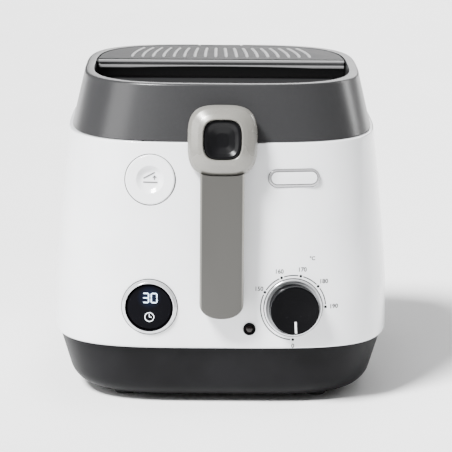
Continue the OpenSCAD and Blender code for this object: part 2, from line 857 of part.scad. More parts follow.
module indicator_holder() {
    r = lamp_d / 2;
    color("#1b1b1d") centred()
        on_front(lamp_x, lamp_z)
            turned_y([
                [r - 1.8, -0.6], [r - 1.3, -1.1], [r - 0.6, -1.1], [r, -0.5], [r, -0.2], [r - 1, -0.2],
                [r - 1, shell_wall + 6], [r - 1.8, shell_wall + 6]
            ]);
}
module indicator_lens() {
    r = lamp_d / 2 - 1.8 - pin_gap;
    color("#3a1512") centred()
        on_front(lamp_x, lamp_z)
            turned_y([
                [0, -1.6], [r * 0.4, -1.45], [r * 0.75, -1], [r, -0.2], [r, shell_wall + 5], [0, shell_wall + 5]
            ]);
}

// Lid button and latch --------------------------------------------------------

stem_r = 3;
stem_end = guide_depth + guide_t + lid_button_travel + 0.5;
module lid_button() {
    r = lid_button_d / 2;
    color("#f0f1f2") centred()
        on_front(-control_x, lid_button_z) {
            turned_y([
                [0, 1.4], [r * 0.2, 1.2], [r * 0.42, 0.6], [r * 0.56, 0], [r - 0.8, -0.2], [r, 0.5], [r, 6],
                [r - 1.8, 6], [r - 1.8, 2.6], [r * 0.5, 2.6], [stem_r, 3.2], [stem_r, stem_end], [0, stem_end]
            ]);
        }
}
module lid_button_guide() {
    color("#8e9094") centred()
        on_front(-control_x, lid_button_z)
            difference() {
                plate_y(guide_depth + seat_gap, guide_depth + guide_t)
                    round_rect(2 * guide_x + 12, 14, 5);
                bar_y(stem_r + slide_gap, guide_depth - 1, guide_depth + guide_t + 1);
            }
}
module lid_button_spring() {
    color("#c9ccd0") centred()
        on_front(-control_x, lid_button_z)
            translate([0, 3.4, 0])
                rotate([-90, 0, 0])
                    coil(stem_r + 1.6, 0.5, guide_depth - 3.3, 3);
}
button_end_y = on_front_point(-control_x, lid_button_z, stem_end)[1];
module latch_lever() {
    foot_y0 = button_end_y + 0.8;
    nose_z = shell_top - 4.2;
    color("#3d3f43") centred()
        translate([latch_x, 0, 0])
            difference() {
                union() {
                    translate([0, latch_y, latch_z])
                        bar_x(latch_r, latch_w);
                    plate_x(latch_w)
                        polygon([
                            [latch_y - 1.5, latch_z - 0.5], [latch_y + 2.6, latch_z - 0.5],
                            [foot_y0 + 2.6, lid_button_z + 5], [foot_y0 + 2.6, lid_button_z - 5],
                            [foot_y0, lid_button_z - 5], [foot_y0, lid_button_z + 4]
                        ]);
                    plate_x(latch_w)
                        polygon([
                            [latch_y - 2, latch_z + 1], [latch_y + 1, latch_z + 2],
                            [striker_y - 2.4, nose_z - 2], [striker_y - 0.4, nose_z],
                            [striker_y - 0.4, nose_z + 2.2], [striker_y - 2.8, nose_z + 3.6],
                            [striker_y - 4.6, nose_z + 2]
                        ]);
                }
                translate([0, latch_y, latch_z])
                    bar_x(latch_pin_r + pin_gap, latch_w + 2);
            }
}
module latch_pin() {
    color("#b9bcc0") centred()
        translate([latch_x, latch_y, latch_z])
            bar_x(latch_pin_r, latch_w + 8);
}
module latch_frame() {
    root_z = latch_z + 4.5;
    back_y = front_y(latch_x - cheek_x, root_z + 5, shell_wall) + 2 * slide_gap;
    color("#8e9094") centred()
        translate([latch_x, 0, 0])
            difference() {
                union() {
                    for (s = [-1, 1])
                        translate([s * cheek_x, 0, 0])
                            plate_x(cheek_t)
                                polygon([
                                    [back_y, root_z], [back_y, root_z + 5], [latch_y - 3, root_z],
                                    [latch_y + 3, latch_z + 3], [latch_y + 3, latch_z - 4],
                                    [latch_y - 3, latch_z - 4], [latch_y - 3, latch_z + 1.5]
                                ]);
                    translate([-cheek_x, back_y, root_z])
                        cube([2 * cheek_x, 1.4, 2]);
                }
                translate([0, latch_y, latch_z])
                    bar_x(latch_pin_r + pin_gap, 4 * latch_w);
            }
}

// Mains connection ----------------------------------------------------------

module terminal_block() {
    color("#e6e2d6") centred()
        translate([half_w - 110, half_d - 57, foot_h + base_wall])
            difference() {
                translate([-17, -8, 0])
                    cube([34, 16, 15]);
                for (i = [-1:1])
                    translate([i * 10, 0, 8])
                        cylinder(r = 2.6, h = 10);
            }
}

// Hinge -----------------------------------------------------------------------

module hinge_pin() {
    color("#b9bcc0") centred()
        translate([0, hinge_y, hinge_z])
            bar_x(hinge_pin_r, 2 * lug_x + lug_t - 1);
}
module lid_spring() {
    color("#c9ccd0") centred()
        translate([-(knuckle_x - knuckle_t / 2 - 2), hinge_y, hinge_z])
            rotate([0, 90, 0])
                coil(hinge_pin_r + 0.3 + 0.75, 0.75, 2 * (knuckle_x - knuckle_t / 2 - 2), 10);
}

// Lid -------------------------------------------------------------------------

rim_inset = lid_inset(rim_top) + shoulder_r * 0.45 + rim_w;
well_back_y = cover_front_y + cover_overhang;
divider_t = 2.5;
well_low = rim_top - well_drop;
well_front_y = -(half_d - rim_inset) + 1;
well_rise = well_drop - 2.5;
well_run = cover_front_y - well_front_y;
well_r = (well_run * well_run + well_rise * well_rise) / (2 * well_rise);
cover_top = rim_top - 0.2;
cover_low = cover_top - cover_t;
ledge_z = cover_low - seat_gap;
pocket_low = rim_top - pocket_drop;
pocket_inset = rim_inset + 4;
ceiling_z = pocket_low - lid_wall;
plate_z = lid_low + 2.6;
lid_post_x = half_w - 80;
lid_post_y = half_d - 47;
lid_post_r = 4;
function well_z(y) = well_low + well_r - sqrt(well_r * well_r - (y - cover_front_y) * (y - cover_front_y));
cover_hinge_y = half_d - rim_inset + 4.9;
cover_hinge_z = cover_top - 2.2;
tab_gap = 1.8;

module behind(y) {
    translate([-half_w, y, 0])
        cube([body_w, body_d, 2 * rim_top]);
}
module before(y) {
    translate([-half_w, y - body_d, 0])
        cube([body_w, body_d, 2 * rim_top]);
}
module well_cylinder(extra) {
    translate([0, cover_front_y, well_low + well_r])
        rotate([0, 90, 0])
            cylinder(r = well_r + extra, h = body_w + 20, center = true, $fn = 360);
}
module lid_knuckle() {
    wall_y = half_d - lid_inset(lid_low + 10) - 1;
    difference() {
        union() {
            translate([0, hinge_y, hinge_z])
                bar_x(knuckle_r, knuckle_t);
            plate_x(knuckle_t)
                polygon([
                    [hinge_y - 4, hinge_z - 2.5], [hinge_y + 4, hinge_z + 3.7],
                    [wall_y, lid_low + 21], [wall_y, lid_low + 6]
                ]);
        }
        translate([0, hinge_y, hinge_z])
            bar_x(hinge_pin_r + pin_gap, knuckle_t + 2);
    }
}
module lid_shell() {
    top_in = lid_inset(rim_top);
    color("#56575b") centred()
        difference() {
            union() {
                difference() {
                    lofted([
                        [lid_inset(ceiling_z) + lid_wall, ceiling_z],
                        [lid_inset(lid_low) + lid_wall, lid_low],
                        [lid_inset(lid_low), lid_low],
                        [lid_inset(rim_top - shoulder_r), rim_top - shoulder_r],
                        for (a = [30:30:90])
                            [top_in - 0.6 + shoulder_r * (1 - cos(a)) * 0.8, rim_top - shoulder_r * (1 - sin(a))]
                    ]);
                    // front well, then the hollow under its floor
                    intersection() {
                        slab(rim_inset, well_low - 2, rim_top + 2);
                        before(well_back_y);
                        well_cylinder(0);
                    }
                    difference() {
                        intersection() {
                            slab(rim_inset + lid_wall, ceiling_z - 2, rim_top);
                            before(well_back_y);
                        }
                        well_cylinder(lid_wall);
                    }
                    // seat of the filter cover, then the filter pocket under it
                    intersection() {
                        slab(rim_inset, ledge_z, rim_top + 2);
                        behind(well_back_y - 1);
                    }
                    intersection() {
                        slab(pocket_inset, pocket_low, rim_top + 2);
                        behind(well_back_y + divider_t);
                    }
                    for (s = [-1, 1])
                        translate([s * (tab_w / 2 + tab_gap / 2), half_d - rim_inset + 3, cover_low - 1 + 4])
                            cube([tab_gap, 14, 8], center = true);
                    translate([-tab_w / 2 - tab_gap, cover_hinge_y - 7, cover_hinge_z - 3])
                        cube([tab_w + 2 * tab_gap, 22, 12]);
                }
                for (s = [-1, 1])
                    translate([s * knuckle_x, 0, 0])
                        lid_knuckle();
                for (p = at_corners(lid_post_x, lid_post_y))
                    translate([p[0], p[1], plate_z + sheet_t + seat_gap])
                        cylinder(
                            r = lid_post_r,
                            h = (p[1] < 0 ? well_z(p[1]) - 1 : pocket_low - 1) - plate_z - sheet_t - seat_gap
                        );
            }
            for (p = at_corners(lid_post_x, lid_post_y))
                translate([p[0], p[1], plate_z - 1])
                    cylinder(r = screw_r + pin_gap, h = 13);
            translate([-notch_w / 2 - 2, -half_d, lid_low - 5])
                cube([notch_w + 4, 40, notch_top - lid_low + 5]);
            for (x = [-2:2], y = [0:2])
                translate([x * 30 - 9, well_back_y + divider_t + 16 + y * 26, ceiling_z - 1])
                    cube([18, 6, lid_wall + 4]);
        }
}
seal_in = bowl_inset - 7;
seal_w = 5;
module lid_inner_plate() {
    color("#c3c6c9") centred()
        difference() {
            slab(seal_in, plate_z, plate_z + sheet_t);
            translate([-notch_w / 2 - 2, -half_d, plate_z - 1])
                cube([notch_w + 4, bowl_inset + 13, 4 * sheet_t]);
            for (p = at_corners(lid_post_x, lid_post_y))
                translate([p[0], p[1], plate_z - 1])
                    cylinder(r = screw_r + slide_gap, h = 4 * sheet_t);
            for (x = [-3:3], y = [-3:3])
                translate([x * 18, 40 + y * 14, plate_z - 1])
                    cylinder(r = 3, h = 4 * sheet_t, $fn = 24);
        }
}
module lid_seal() {
    low = flange_top + slide_gap;
    color("#2a2a2c") centred()
        difference() {
            slab(seal_in + 0.5, low, plate_z - seat_gap);
            slab(seal_in + 0.5 + seal_w, low - 1, plate_z + 1);
            translate([-notch_w / 2 - 2, -half_d, low - 1])
                cube([notch_w + 4, bowl_inset + 13, 20]);
        }
}
module lid_screws() {
    color("#9a9da1") centred()
        for (p = at_corners(lid_post_x, lid_post_y))
            translate([p[0], p[1], plate_z - screw_head_h - 0.1])
                screw(13);
}
module lid_striker() {
    win_z = shell_top - 4.2;
    tab_z = shell_top + 11;
    tab_t = 3;
    tab_y = front_y(latch_x - latch_w / 2, tab_z + tab_t, lid_wall) + 3 * slide_gap;
    color("#b9bcc0") centred()
        translate([latch_x, 0, 0])
            difference() {
                union() {
                    translate([-latch_w / 2, striker_y, shell_top - 6])
                        cube([latch_w, sheet_t + 0.2, 20]);
                    translate([-latch_w / 2, tab_y, tab_z])
                        cube([latch_w, striker_y + sheet_t - tab_y, tab_t]);
                }
                translate([-latch_w / 2 + 2, striker_y - 1, win_z - 0.6])
                    cube([latch_w - 4, 4, 4]);
            }
}
filter_inset = pocket_inset + 2;
filter_front_y = well_back_y + divider_t + 2;
module filter_block(low, high) {
    intersection() {
        slab(filter_inset, low, high);
        behind(filter_front_y);
    }
}
filter_t = 7;
module grease_filter() {
    color("#e8e4d8") centred()
        filter_block(pocket_low + seat_gap, pocket_low + filter_t);
}
module charcoal_filter() {
    color("#3a3a3c") centred()
        filter_block(pocket_low + filter_t + seat_gap, pocket_low + 2 * filter_t);
}

// Filter cover ------------------------------------------------------------------

cover_inset = rim_inset + cover_gap;
// One rib bends inwards as it runs back, further out the more
function rib_x(i) = (i - (rib_count - 1) / 2) * rib_pitch;
function rib_path(x, f) = x * (1 - 0.13 * f * f);
module rib_shape(i, width, f_low, f_high) {
    steps = 8;
    y0 = cover_front_y + rib_start;
    side = [for (k = [0:steps]) let (f = f_low + (f_high - f_low) * k / steps)
        [rib_path(rib_x(i), f), y0 + rib_len * f]];
    polygon(concat(
        [for (p = side) [p[0] - width / 2, p[1]]],
        [for (k = [steps:-1:0]) [side[k][0] + width / 2, side[k][1]]]
    ));
}
slot_w = 1.4;
arch_r = 2600;
module cover_front_bar() {
    lip = 1.9;
    low = cover_low - 4.2;
    bar_len = 2 * (half_w - cover_inset) - 1.5;
    difference() {
        plate_x(bar_len)
            polygon([
                [cover_front_y, cover_top - 0.5], [cover_front_y + 0.5, cover_top],
                [cover_front_y + 10, cover_top], [cover_front_y + 10, cover_low],
                [cover_front_y + 4.5, cover_low], [cover_front_y + 3.5, low],
                [cover_front_y + 0.6, low], [cover_front_y + 0.6, low + lip + 0.4],
                [cover_front_y + 2.4, low + lip + 0.7], [cover_front_y + 2.4, cover_top - lip - 0.2],
                [cover_front_y, cover_top - lip]
            ]);
        // slight arch under the lower lip
        translate([0, cover_front_y, low - arch_r + 1.2])
            rotate([-90, 0, 0])
                cylinder(r = arch_r, h = 30, center = true, $fn = 720);
    }
}
module filter_cover() {
    color("#77787b") centred()
        difference() {
            union() {
                intersection() {
                    slab(cover_inset, cover_low, cover_top);
                    behind(cover_front_y + 4);
                }
                cover_front_bar();
                translate([-tab_w / 2, half_d - cover_inset - 3, cover_low])
                    cube([tab_w, cover_hinge_y - half_d + cover_inset + 3, cover_t]);
                translate([0, cover_hinge_y, cover_hinge_z])
                    bar_x(2.2, tab_w);
                translate([0, 0, cover_top - 0.1])
                    for (i = [0:rib_count - 1])
                        linear_extrude(rib_h + 0.1)
                            rib_shape(i, rib_w, 0, 1);
            }
            translate([0, 0, cover_low - 1])
                for (i = [0:rib_count - 2])
                    linear_extrude(cover_t + 2)
                        rib_shape(i + 0.5, slot_w, 0.06, 0.94);
            translate([0, cover_hinge_y, cover_hinge_z])
                bar_x(cover_pin_r + pin_gap, tab_w + 2);
        }
}
module filter_cover_pin() {
    color("#b9bcc0") centred()
        translate([0, cover_hinge_y, cover_hinge_z])
            bar_x(cover_pin_r, tab_w + 1);
}

// Basket ------------------------------------------------------------------------

basket_low = bowl_low + basket_lift_off;
basket_top = basket_low + basket_h;
basket_w = 2 * (half_w - bowl_out(basket_low) - bowl_wall - basket_side_gap);
basket_d = 2 * (half_d - bowl_out(basket_low) - bowl_wall - basket_end_gap);
bars_x = 2 * floor((basket_w / 2 - basket_corner_r) / bar_pitch);
bars_y = 2 * floor((basket_d / 2 - basket_corner_r) / bar_pitch);
hoops = 4;
module basket_outline(inset) {
    round_rect(basket_w - 2 * inset, basket_d - 2 * inset, basket_corner_r - inset);
}
module hoop(z, h) {
    translate([0, 0, z])
        linear_extrude(h)
            difference() {
                basket_outline(0);
                basket_outline(bar_w);
            }
}
module upright(x, y, a) {
    translate([x, y, basket_low])
        rotate([0, 0, a])
            translate([-bar_w / 2, -bar_w, 0])
                cube([bar_w, bar_w, basket_h - rim_wire_r]);
}
module basket_mesh() {
    floor_t = bar_w;
    color("#b4b7ba") centred()
        union() {
            translate([0, 0, basket_low])
                linear_extrude(floor_t)
                    intersection() {
                        basket_outline(0.1);
                        union() {
                            for (i = [-bars_x / 2:bars_x / 2])
                                translate([i * bar_pitch - bar_w / 2, -basket_d / 2])
                                    square([bar_w, basket_d]);
                            for (i = [-bars_y / 2:bars_y / 2])
                                translate([-basket_w / 2, i * bar_pitch - bar_w / 2])
                                    square([basket_w, bar_w]);
                        }
                    }
            for (k = [0:hoops])
                hoop(basket_low + k * (basket_h - rim_wire_r - bar_w) / hoops, bar_w);
            for (i = [-bars_x / 2:bars_x / 2]) {
                upright(i * bar_pitch, basket_d / 2, 0);
                upright(i * bar_pitch, -basket_d / 2, 180);
            }
            for (i = [-bars_y / 2:bars_y / 2]) {
                upright(basket_w / 2, i * bar_pitch, -90);
                upright(-basket_w / 2, i * bar_pitch, 90);
            }
            for (x = [-1, 1], y = [-1, 1], a = [15, 45, 75])
                translate([x * (basket_w / 2 - basket_corner_r), y * (basket_d / 2 - basket_corner_r), basket_low])
                    rotate([0, 0, (x * y > 0 ? a : -a) + (x < 0 ? 180 : 0)])
                        translate([basket_corner_r - bar_w, -bar_w / 2, 0])
                            cube([bar_w, bar_w, basket_h - rim_wire_r]);
        }
}
// Round wire swept along a closed rounded rectangle in plan
module wire_loop(w, d, r, wire_r) {
    per_corner = 7;
    sides = 10;
    rings = [
        for (q = [0:3], k = [0:per_corner])
            let (
                t = 90 * q + 90 * k / per_corner,
                cx = (q == 0 || q == 3 ? 1 : -1) * (w / 2 - r),
                cy = (q < 2 ? 1 : -1) * (d / 2 - r)
            )
                [for (j = [0:sides - 1])
                    let (u = 360 * j / sides, p = r + wire_r * cos(u))
                        [cx + p * cos(t), cy + p * sin(t), wire_r * sin(u)]]
    ];
    mirror([0, 0, 1])
        rings_body(rings, loop = true);
}
module basket_rim() {
    color("#c6c9cc") centred()
        translate([0, 0, basket_top])
            wire_loop(basket_w - bar_w, basket_d - bar_w, basket_corner_r - bar_w / 2, rim_wire_r);
}

// Handle --------------------------------------------------------------------------

lip_z = shell_top - shell_lip_r;
ring_y = front_y(0, lip_z) - ring_gap - (lip_z - ring_z) * tan(ring_lean);
ring_square = 3.3;
pin_up = 22.3;
pin_out = 5.6;
bracket_w = 22;
bracket_t = 1.8;
knuckle_half = bracket_w / 2 - 2;
ring_eye_len = 4.6;
ring_eye_end = bracket_w / 2 + slide_gap + ring_eye_len;
// Inner face of the ring's top wall, which swings down behind the bracket
function wall_up(x) =
    (ring_h / 2 - ring_wall) * pow(1 - pow(x / (ring_w / 2 - ring_wall), ring_square), 1 / ring_square);
bracket_out = pin_out + pin_up - wall_up(bracket_w / 2) + slide_gap;
bracket_eye_r = wall_up(knuckle_half) - pin_up - slide_gap;
// Frame of the ring: local Z up along it, local -Y out of its front
module ring_frame() {
    translate([0, ring_y, ring_z])
        rotate([-ring_lean, 0, 0])
            children();
}
function ring_point(out, up) = [
    ring_y - out * cos(ring_lean) + up * sin(ring_lean),
    ring_z + out * sin(ring_lean) + up * cos(ring_lean)
];
pin_y = ring_point(pin_out, pin_up)[0];
pin_z = ring_point(pin_out, pin_up)[1];
neck_lift = (neck_z - ring_z) / cos(ring_lean);
ring_rings = 44;
function ring_oval(inset, out) = [
    for (p = oval(ring_w / 2 - inset, ring_h / 2 - inset, ring_square, 0, ring_rings))
        [p[0], -out, p[1]]
];
module handle_ring() {
    b = ring_border;
    inner_back = 7.5;
    color("#b7b4ad") centred()
        ring_frame()
            difference() {
                union() {
                    rings_body([
                        for (p = [
                            [0, 0], [0, ring_t - 6], [1, ring_t - 2.6], [3.4, ring_t - 0.5], [6.4, ring_t],
                            [b - 2, ring_t - 0.4], [b, ring_t - 3], [b, inner_back], [b - ring_wall, inner_back],
                            [b - ring_wall, ring_t - 3.6], [ring_wall, ring_t - 5.4], [ring_wall, 0]
                        ])
                            ring_oval(p[0], p[1])
                    ], loop = true);
                    for (s = [-1, 1])
                        translate([s * (ring_eye_end - ring_eye_len / 2), -pin_out, pin_up])
                            bar_x(pivot_r + 2, ring_eye_len);
                    translate([-grip_w / 2 + 5, -ring_t + 6, -ring_h / 2 + ring_wall / 2])
                        cube([grip_w - 10, ring_t - 12, 5]);
                }
                translate([0, -pin_out, pin_up])
                    bar_x(pivot_r + pin_gap, 2 * ring_eye_end + 0.2);
                for (s = [-1, 1])
                    translate([s * grip_screw_x, -grip_screw_out, -ring_h / 2 - 6])
                        cylinder(r = screw_r + pin_gap, h = 16);
            }
}
grip_screw_x = 8;
grip_screw_out = 9;
grip_screw_drop = 7.6;

// Frame of the grip: local Z up along it from its top end
grip_top = ring_point(2.4, -ring_h / 2 - seat_gap);
grip_low_y = front_y(0, grip_low_z + 6) - 3.2;
grip_lean = atan((grip_top[0] - grip_low_y) / (grip_top[1] - grip_low_z));
grip_len = norm([grip_top[0] - grip_low_y, grip_top[1] - grip_low_z]);
grip_bevel = 1.6;
front_reach = grip_t * cos(grip_lean) + (grip_len - grip_bevel) * sin(grip_lean) - grip_top[0];
module grip_frame() {
    translate([0, grip_top[0], grip_top[1]])
        rotate([-grip_lean, 0, 0])
            children();
}
// Front view of the grip with rounded lower corners
module grip_face(inset) {
    r = grip_corner_r - inset;
    w = grip_w - 2 * inset;
    translate([-w / 2, -grip_len + inset + r])
        square([w, grip_len - inset - r]);
    translate([-w / 2 + r, -grip_len + inset])
        square([w - 2 * r, r + 1]);
    for (s = [-1, 1])
        translate([s * (w / 2 - r), -grip_len + inset + r])
            circle(r);
}
grip_wall = 2.2;
back_t = 2;
module grip_solid(inset, from, to) {
    hull() {
        plate_y(-to + grip_bevel, -from)
            grip_face(inset, $fn = 32);
        plate_y(-to, -from)
            grip_face(inset + grip_bevel, $fn = 32);
    }
}
module handle_grip() {
    color("#8a8882") centred()
        difference() {
            grip_frame()
                difference() {
                    grip_solid(0, 0, grip_t);
                    translate([0, 0, -grip_wall - 3])
                        plate_y(-grip_t + grip_wall, 1)
                            intersection() {
                                grip_face(grip_wall);
                                translate([-grip_w, -2 * grip_len])
                                    square([2 * grip_w, 2 * grip_len]);
                            }
                }
            ring_frame()
                rings_body([ring_oval(-seat_gap, -6), ring_oval(-seat_gap, ring_t + 6)]);
            ring_frame()
                for (s = [-1, 1])
                    translate([s * grip_screw_x, -grip_screw_out, -ring_h / 2 - 14])
                        cylinder(r = screw_r + slide_gap, h = 20);
        }
}
module handle_back() {
    color("#77756f") centred()
        grip_frame()
            translate([0, 0, -grip_wall - 3 - seat_gap])
                plate_y(-back_t, -seat_gap)
                    difference() {
                        grip_face(grip_wall + seat_gap);
                        translate([-grip_w, -6])
                            square([2 * grip_w, 20]);
                    }
}
module handle_screws() {
    color("#9a9da1") centred()
        ring_frame()
            for (s = [-1, 1])
                translate([s * grip_screw_x, -grip_screw_out, -ring_h / 2 - grip_screw_drop - screw_head_h])
                    screw(13);
}
guide_out = 7.3;
module release_button() {
    b = ring_border + slide_gap;
    top = ring_t - 2.6;
    back = guide_out + release_travel + 0.7;
    color("#0f0f11") centred()
        ring_frame()
            rings_body([
                for (p = [
                    [b + 2, back], [b, back + 1.4], [b, top - 0.8], [b + 0.8, top], [b + 3, top - 1.2],
                    [b + 7, top - 2.8], [b + 11, top - 3.4]
                ])
                    ring_oval(p[0], p[1])
            ]);
}
module release_guide() {
    color("#8e9094") centred()
        ring_frame()
            plate_y(-guide_out, -guide_out + 1.7)
                difference() {
                    square([ring_w - 2 * ring_wall - 4, 14], center = true);
                    circle(2);
                }
}
module release_spring() {
    color("#c9ccd0") centred()
        ring_frame()
            translate([0, -guide_out - seat_gap, 0])
                rotate([90, 0, 0])
                    coil(5, 0.4, release_travel + 0.3, 2);
}
module handle_pin() {
    color("#c6c9cc") centred()
        translate([0, pin_y, pin_z])
            bar_x(pivot_r, 2 * ring_eye_end - 2 * seat_gap);
}
// Bent strip from the pivot, through the slot and down to the basket's rim
module basket_bracket() {
    drop_y = -(half_d - bowl_inset - bowl_wall - 5);
    plate_low = ring_point(bracket_out, 0);
    basket_face = -basket_d / 2;
    color("#c0c3c6") centred()
        difference() {
            union() {
                ring_frame() {
                    translate([-bracket_w / 2, -bracket_out - bracket_t, neck_lift])
                        cube([bracket_w, bracket_t, pin_up - neck_lift]);
                    translate([0, -pin_out, pin_up])
                        bar_x(bracket_eye_r, 2 * knuckle_half);
                }
                translate([-bracket_w / 2, plate_low[0] - 2.6, neck_z])
                    cube([bracket_w, drop_y - plate_low[0] + 2.6 + bracket_t, neck_t]);
                translate([-bracket_w / 2, drop_y, basket_top - 6])
                    cube([bracket_w, bracket_t, neck_z + neck_t - basket_top + 6]);
                translate([-bracket_w / 2, drop_y, basket_top - 6])
                    cube([bracket_w, basket_face - drop_y - slide_gap, bracket_t]);
            }
            translate([0, pin_y, pin_z])
                bar_x(pivot_r + pin_gap, bracket_w + 2);
        }
}

base_tray();
foot_front_left();
foot_front_right();
foot_rear_left();
foot_rear_right();
base_screws();
body_shell();
badge_rim();
inner_collar();
bowl();
heater_plate();
heating_element();
heater_bracket();
heat_shield();
thermal_cutout();
thermostat_body();
capillary_tube();
sensor_bulb();
thermostat_shaft();
temperature_knob();
dial_dish();
timer_bezel();
timer_lens();
timer_housing();
timer_board();
timer_spring();
indicator_lens();
indicator_holder();
lid_button();
lid_button_guide();
lid_button_spring();
latch_lever();
latch_frame();
latch_pin();
terminal_block();
cord_gland();
hinge_pin();
lid_spring();
lid_shell();
lid_inner_plate();
lid_seal();
lid_striker();
lid_screws();
grease_filter();
charcoal_filter();
filter_cover();
filter_cover_pin();
basket_mesh();
basket_rim();
basket_bracket();
handle_pin();
handle_ring();
handle_grip();
handle_back();
handle_screws();
release_button();
release_guide();
release_spring();
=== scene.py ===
import json
import math

import bmesh
import bpy
from mathutils import Matrix, Vector


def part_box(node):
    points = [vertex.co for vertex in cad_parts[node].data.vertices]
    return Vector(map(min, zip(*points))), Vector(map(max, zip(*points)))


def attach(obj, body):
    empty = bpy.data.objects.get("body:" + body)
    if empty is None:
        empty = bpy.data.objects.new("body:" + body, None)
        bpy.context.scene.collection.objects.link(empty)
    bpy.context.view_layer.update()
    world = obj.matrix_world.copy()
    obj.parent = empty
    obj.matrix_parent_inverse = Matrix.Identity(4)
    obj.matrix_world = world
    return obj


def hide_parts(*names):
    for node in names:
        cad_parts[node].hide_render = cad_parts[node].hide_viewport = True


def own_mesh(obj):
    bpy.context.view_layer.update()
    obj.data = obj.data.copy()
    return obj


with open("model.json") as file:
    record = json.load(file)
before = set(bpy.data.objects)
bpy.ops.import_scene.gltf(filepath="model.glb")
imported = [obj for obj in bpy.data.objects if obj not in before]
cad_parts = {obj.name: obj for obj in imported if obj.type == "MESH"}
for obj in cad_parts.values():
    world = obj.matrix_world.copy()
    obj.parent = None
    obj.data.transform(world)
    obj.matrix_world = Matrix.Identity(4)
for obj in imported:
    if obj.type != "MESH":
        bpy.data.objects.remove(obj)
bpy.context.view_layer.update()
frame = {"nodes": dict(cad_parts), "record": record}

# The pieces are drawn in millimetres on the housing's own middle, and moved into place when finished
mm = 0.001
shellLow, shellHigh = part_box("body_shell")
middleY = (shellLow.y + shellHigh.y) / 2 / mm
intoFrame = Matrix.Translation((0, middleY * mm, 0)) @ Matrix.Scale(mm, 4)

body = {
    "halfWidth": 140, "halfDepth": 165, "squareLow": 4.1, "squareHigh": 3.4,
    "floorZ": 5, "seamZ": 49.6, "widestZ": 88, "topZ": 216, "lidZ": 216.5, "rimZ": 261.6,
    "taper": 11.6, "lidStep": 2.6, "lidTaper": 10.5, "baseStep": 3.0, "baseFlare": 13.5,
    "roundness": 256,
}


def squareness(z):
    share = (z - body["seamZ"]) / (body["rimZ"] - body["seamZ"])
    return body["squareLow"] + (body["squareHigh"] - body["squareLow"]) * share


def shellInset(z):
    if z <= body["widestZ"]:
        return 0
    return body["taper"] * ((z - body["widestZ"]) / (body["topZ"] - body["widestZ"])) ** 1.2


def lidInset(z):
    share = (z - body["lidZ"]) / (body["rimZ"] - body["lidZ"])
    return body["taper"] + body["lidStep"] + body["lidTaper"] * share


def baseInset(z):
    return body["baseStep"] + body["baseFlare"] * (body["seamZ"] - z) / (body["seamZ"] - body["floorZ"])


def frontY(x, z):
    inset = lidInset(z) if z > body["topZ"] else shellInset(z)
    n = squareness(z)
    return -(body["halfDepth"] - inset) * (1 - (abs(x) / (body["halfWidth"] - inset)) ** n) ** (1 / n)


def onFront(x, z):  # a place on the front: -Y looks straight out of the surface
    yaw = math.atan((frontY(x + 1, z) - frontY(x - 1, z)) / 2)
    pitch = math.atan((frontY(x, z + 1) - frontY(x, z - 1)) / 2)
    turn = Matrix.Rotation(yaw, 4, "Z") @ Matrix.Rotation(-pitch, 4, "X")
    return Matrix.Translation((x, frontY(x, z), z)) @ turn


def eased(points, steps=5):  # rounds each corner of a profile that is given a radius as its third number
    out = []
    for i, point in enumerate(points):
        if len(point) < 3 or i in (0, len(points) - 1):
            out.append(tuple(point[:2]))
            continue
        corner = Vector(point[:2])
        back, ahead = Vector(points[i - 1][:2]) - corner, Vector(points[i + 1][:2]) - corner
        half = back.angle(ahead) / 2
        if abs(half - math.pi / 2) < 0.02:
            out.append(tuple(corner))
            continue
        reach = min(point[2] / math.tan(half), 0.48 * back.length, 0.48 * ahead.length)
        radius = reach * math.tan(half)
        centre = corner + (back.normalized() + ahead.normalized()).normalized() * (radius / math.sin(half))
        first = corner + back.normalized() * reach - centre
        last = corner + ahead.normalized() * reach - centre
        start = math.atan2(first.y, first.x)
        sweep = math.remainder(math.atan2(last.y, last.x) - start, 2 * math.pi)
        for k in range(steps + 1):
            a = start + sweep * k / steps
            out.append((centre.x + radius * math.cos(a), centre.y + radius * math.sin(a)))
    return out


def pickVerts(geometry):
    return [g for g in geometry if isinstance(g, bmesh.types.BMVert)]


def carryOn(bm, edges):  # extrudes an open border once, and hands back the new border and its vertices
    made = bmesh.ops.extrude_edge_only(bm, edges=edges)["geom"]
    return [g for g in made if isinstance(g, bmesh.types.BMEdge) and g.is_boundary], pickVerts(made)


def tube(segments, count, spot, closed):  # a ring carried through count places, each vertex laid by spot
    bm = bmesh.new()
    turn = bm.verts.layers.float.new("turn")
    bmesh.ops.create_circle(bm, segments=segments, radius=1)
    for vert in bm.verts:
        vert[turn] = math.atan2(vert.co.y, vert.co.x)
        vert.co = spot(vert[turn], 0)
    edges = first = bm.edges[:]
    for number in range(1, count):
        edges, verts = carryOn(bm, edges)
        for vert in verts:
            vert.co = spot(vert[turn], number)
    if closed:
        bmesh.ops.bridge_loops(bm, edges=first + edges)
    else:
        bmesh.ops.edgeloop_fill(bm, edges=first)
        bmesh.ops.edgeloop_fill(bm, edges=edges)
    bmesh.ops.recalc_face_normals(bm, faces=bm.faces)
    return bm


def roundedPlan(halfWidth, halfDepth, power, angle):  # a point on the rounded four-sided outline
    c, s = math.cos(angle), math.sin(angle)
    reach = ((abs(c) / halfWidth) ** power + (abs(s) / halfDepth) ** power) ** (-1 / power)
    return reach * c, reach * s


def bodyPlan(angle, inset, z):
    x, y = roundedPlan(body["halfWidth"] - inset, body["halfDepth"] - inset, squareness(z), angle)
    return Vector((x, y, z))


def loft(levels, closed=False, segments=body["roundness"], plan=bodyPlan):  # a plan carried up its levels
    return tube(segments, len(levels), lambda angle, number: plan(angle, *levels[number]), closed)


def soften(bm, edges, radius, segments, clamp=False):  # rounds these edges
    bmesh.ops.bevel(bm, geom=edges, offset=radius, offset_type="OFFSET", affect="EDGES", segments=segments,
                    profile=0.5, material=-1, clamp_overlap=clamp)


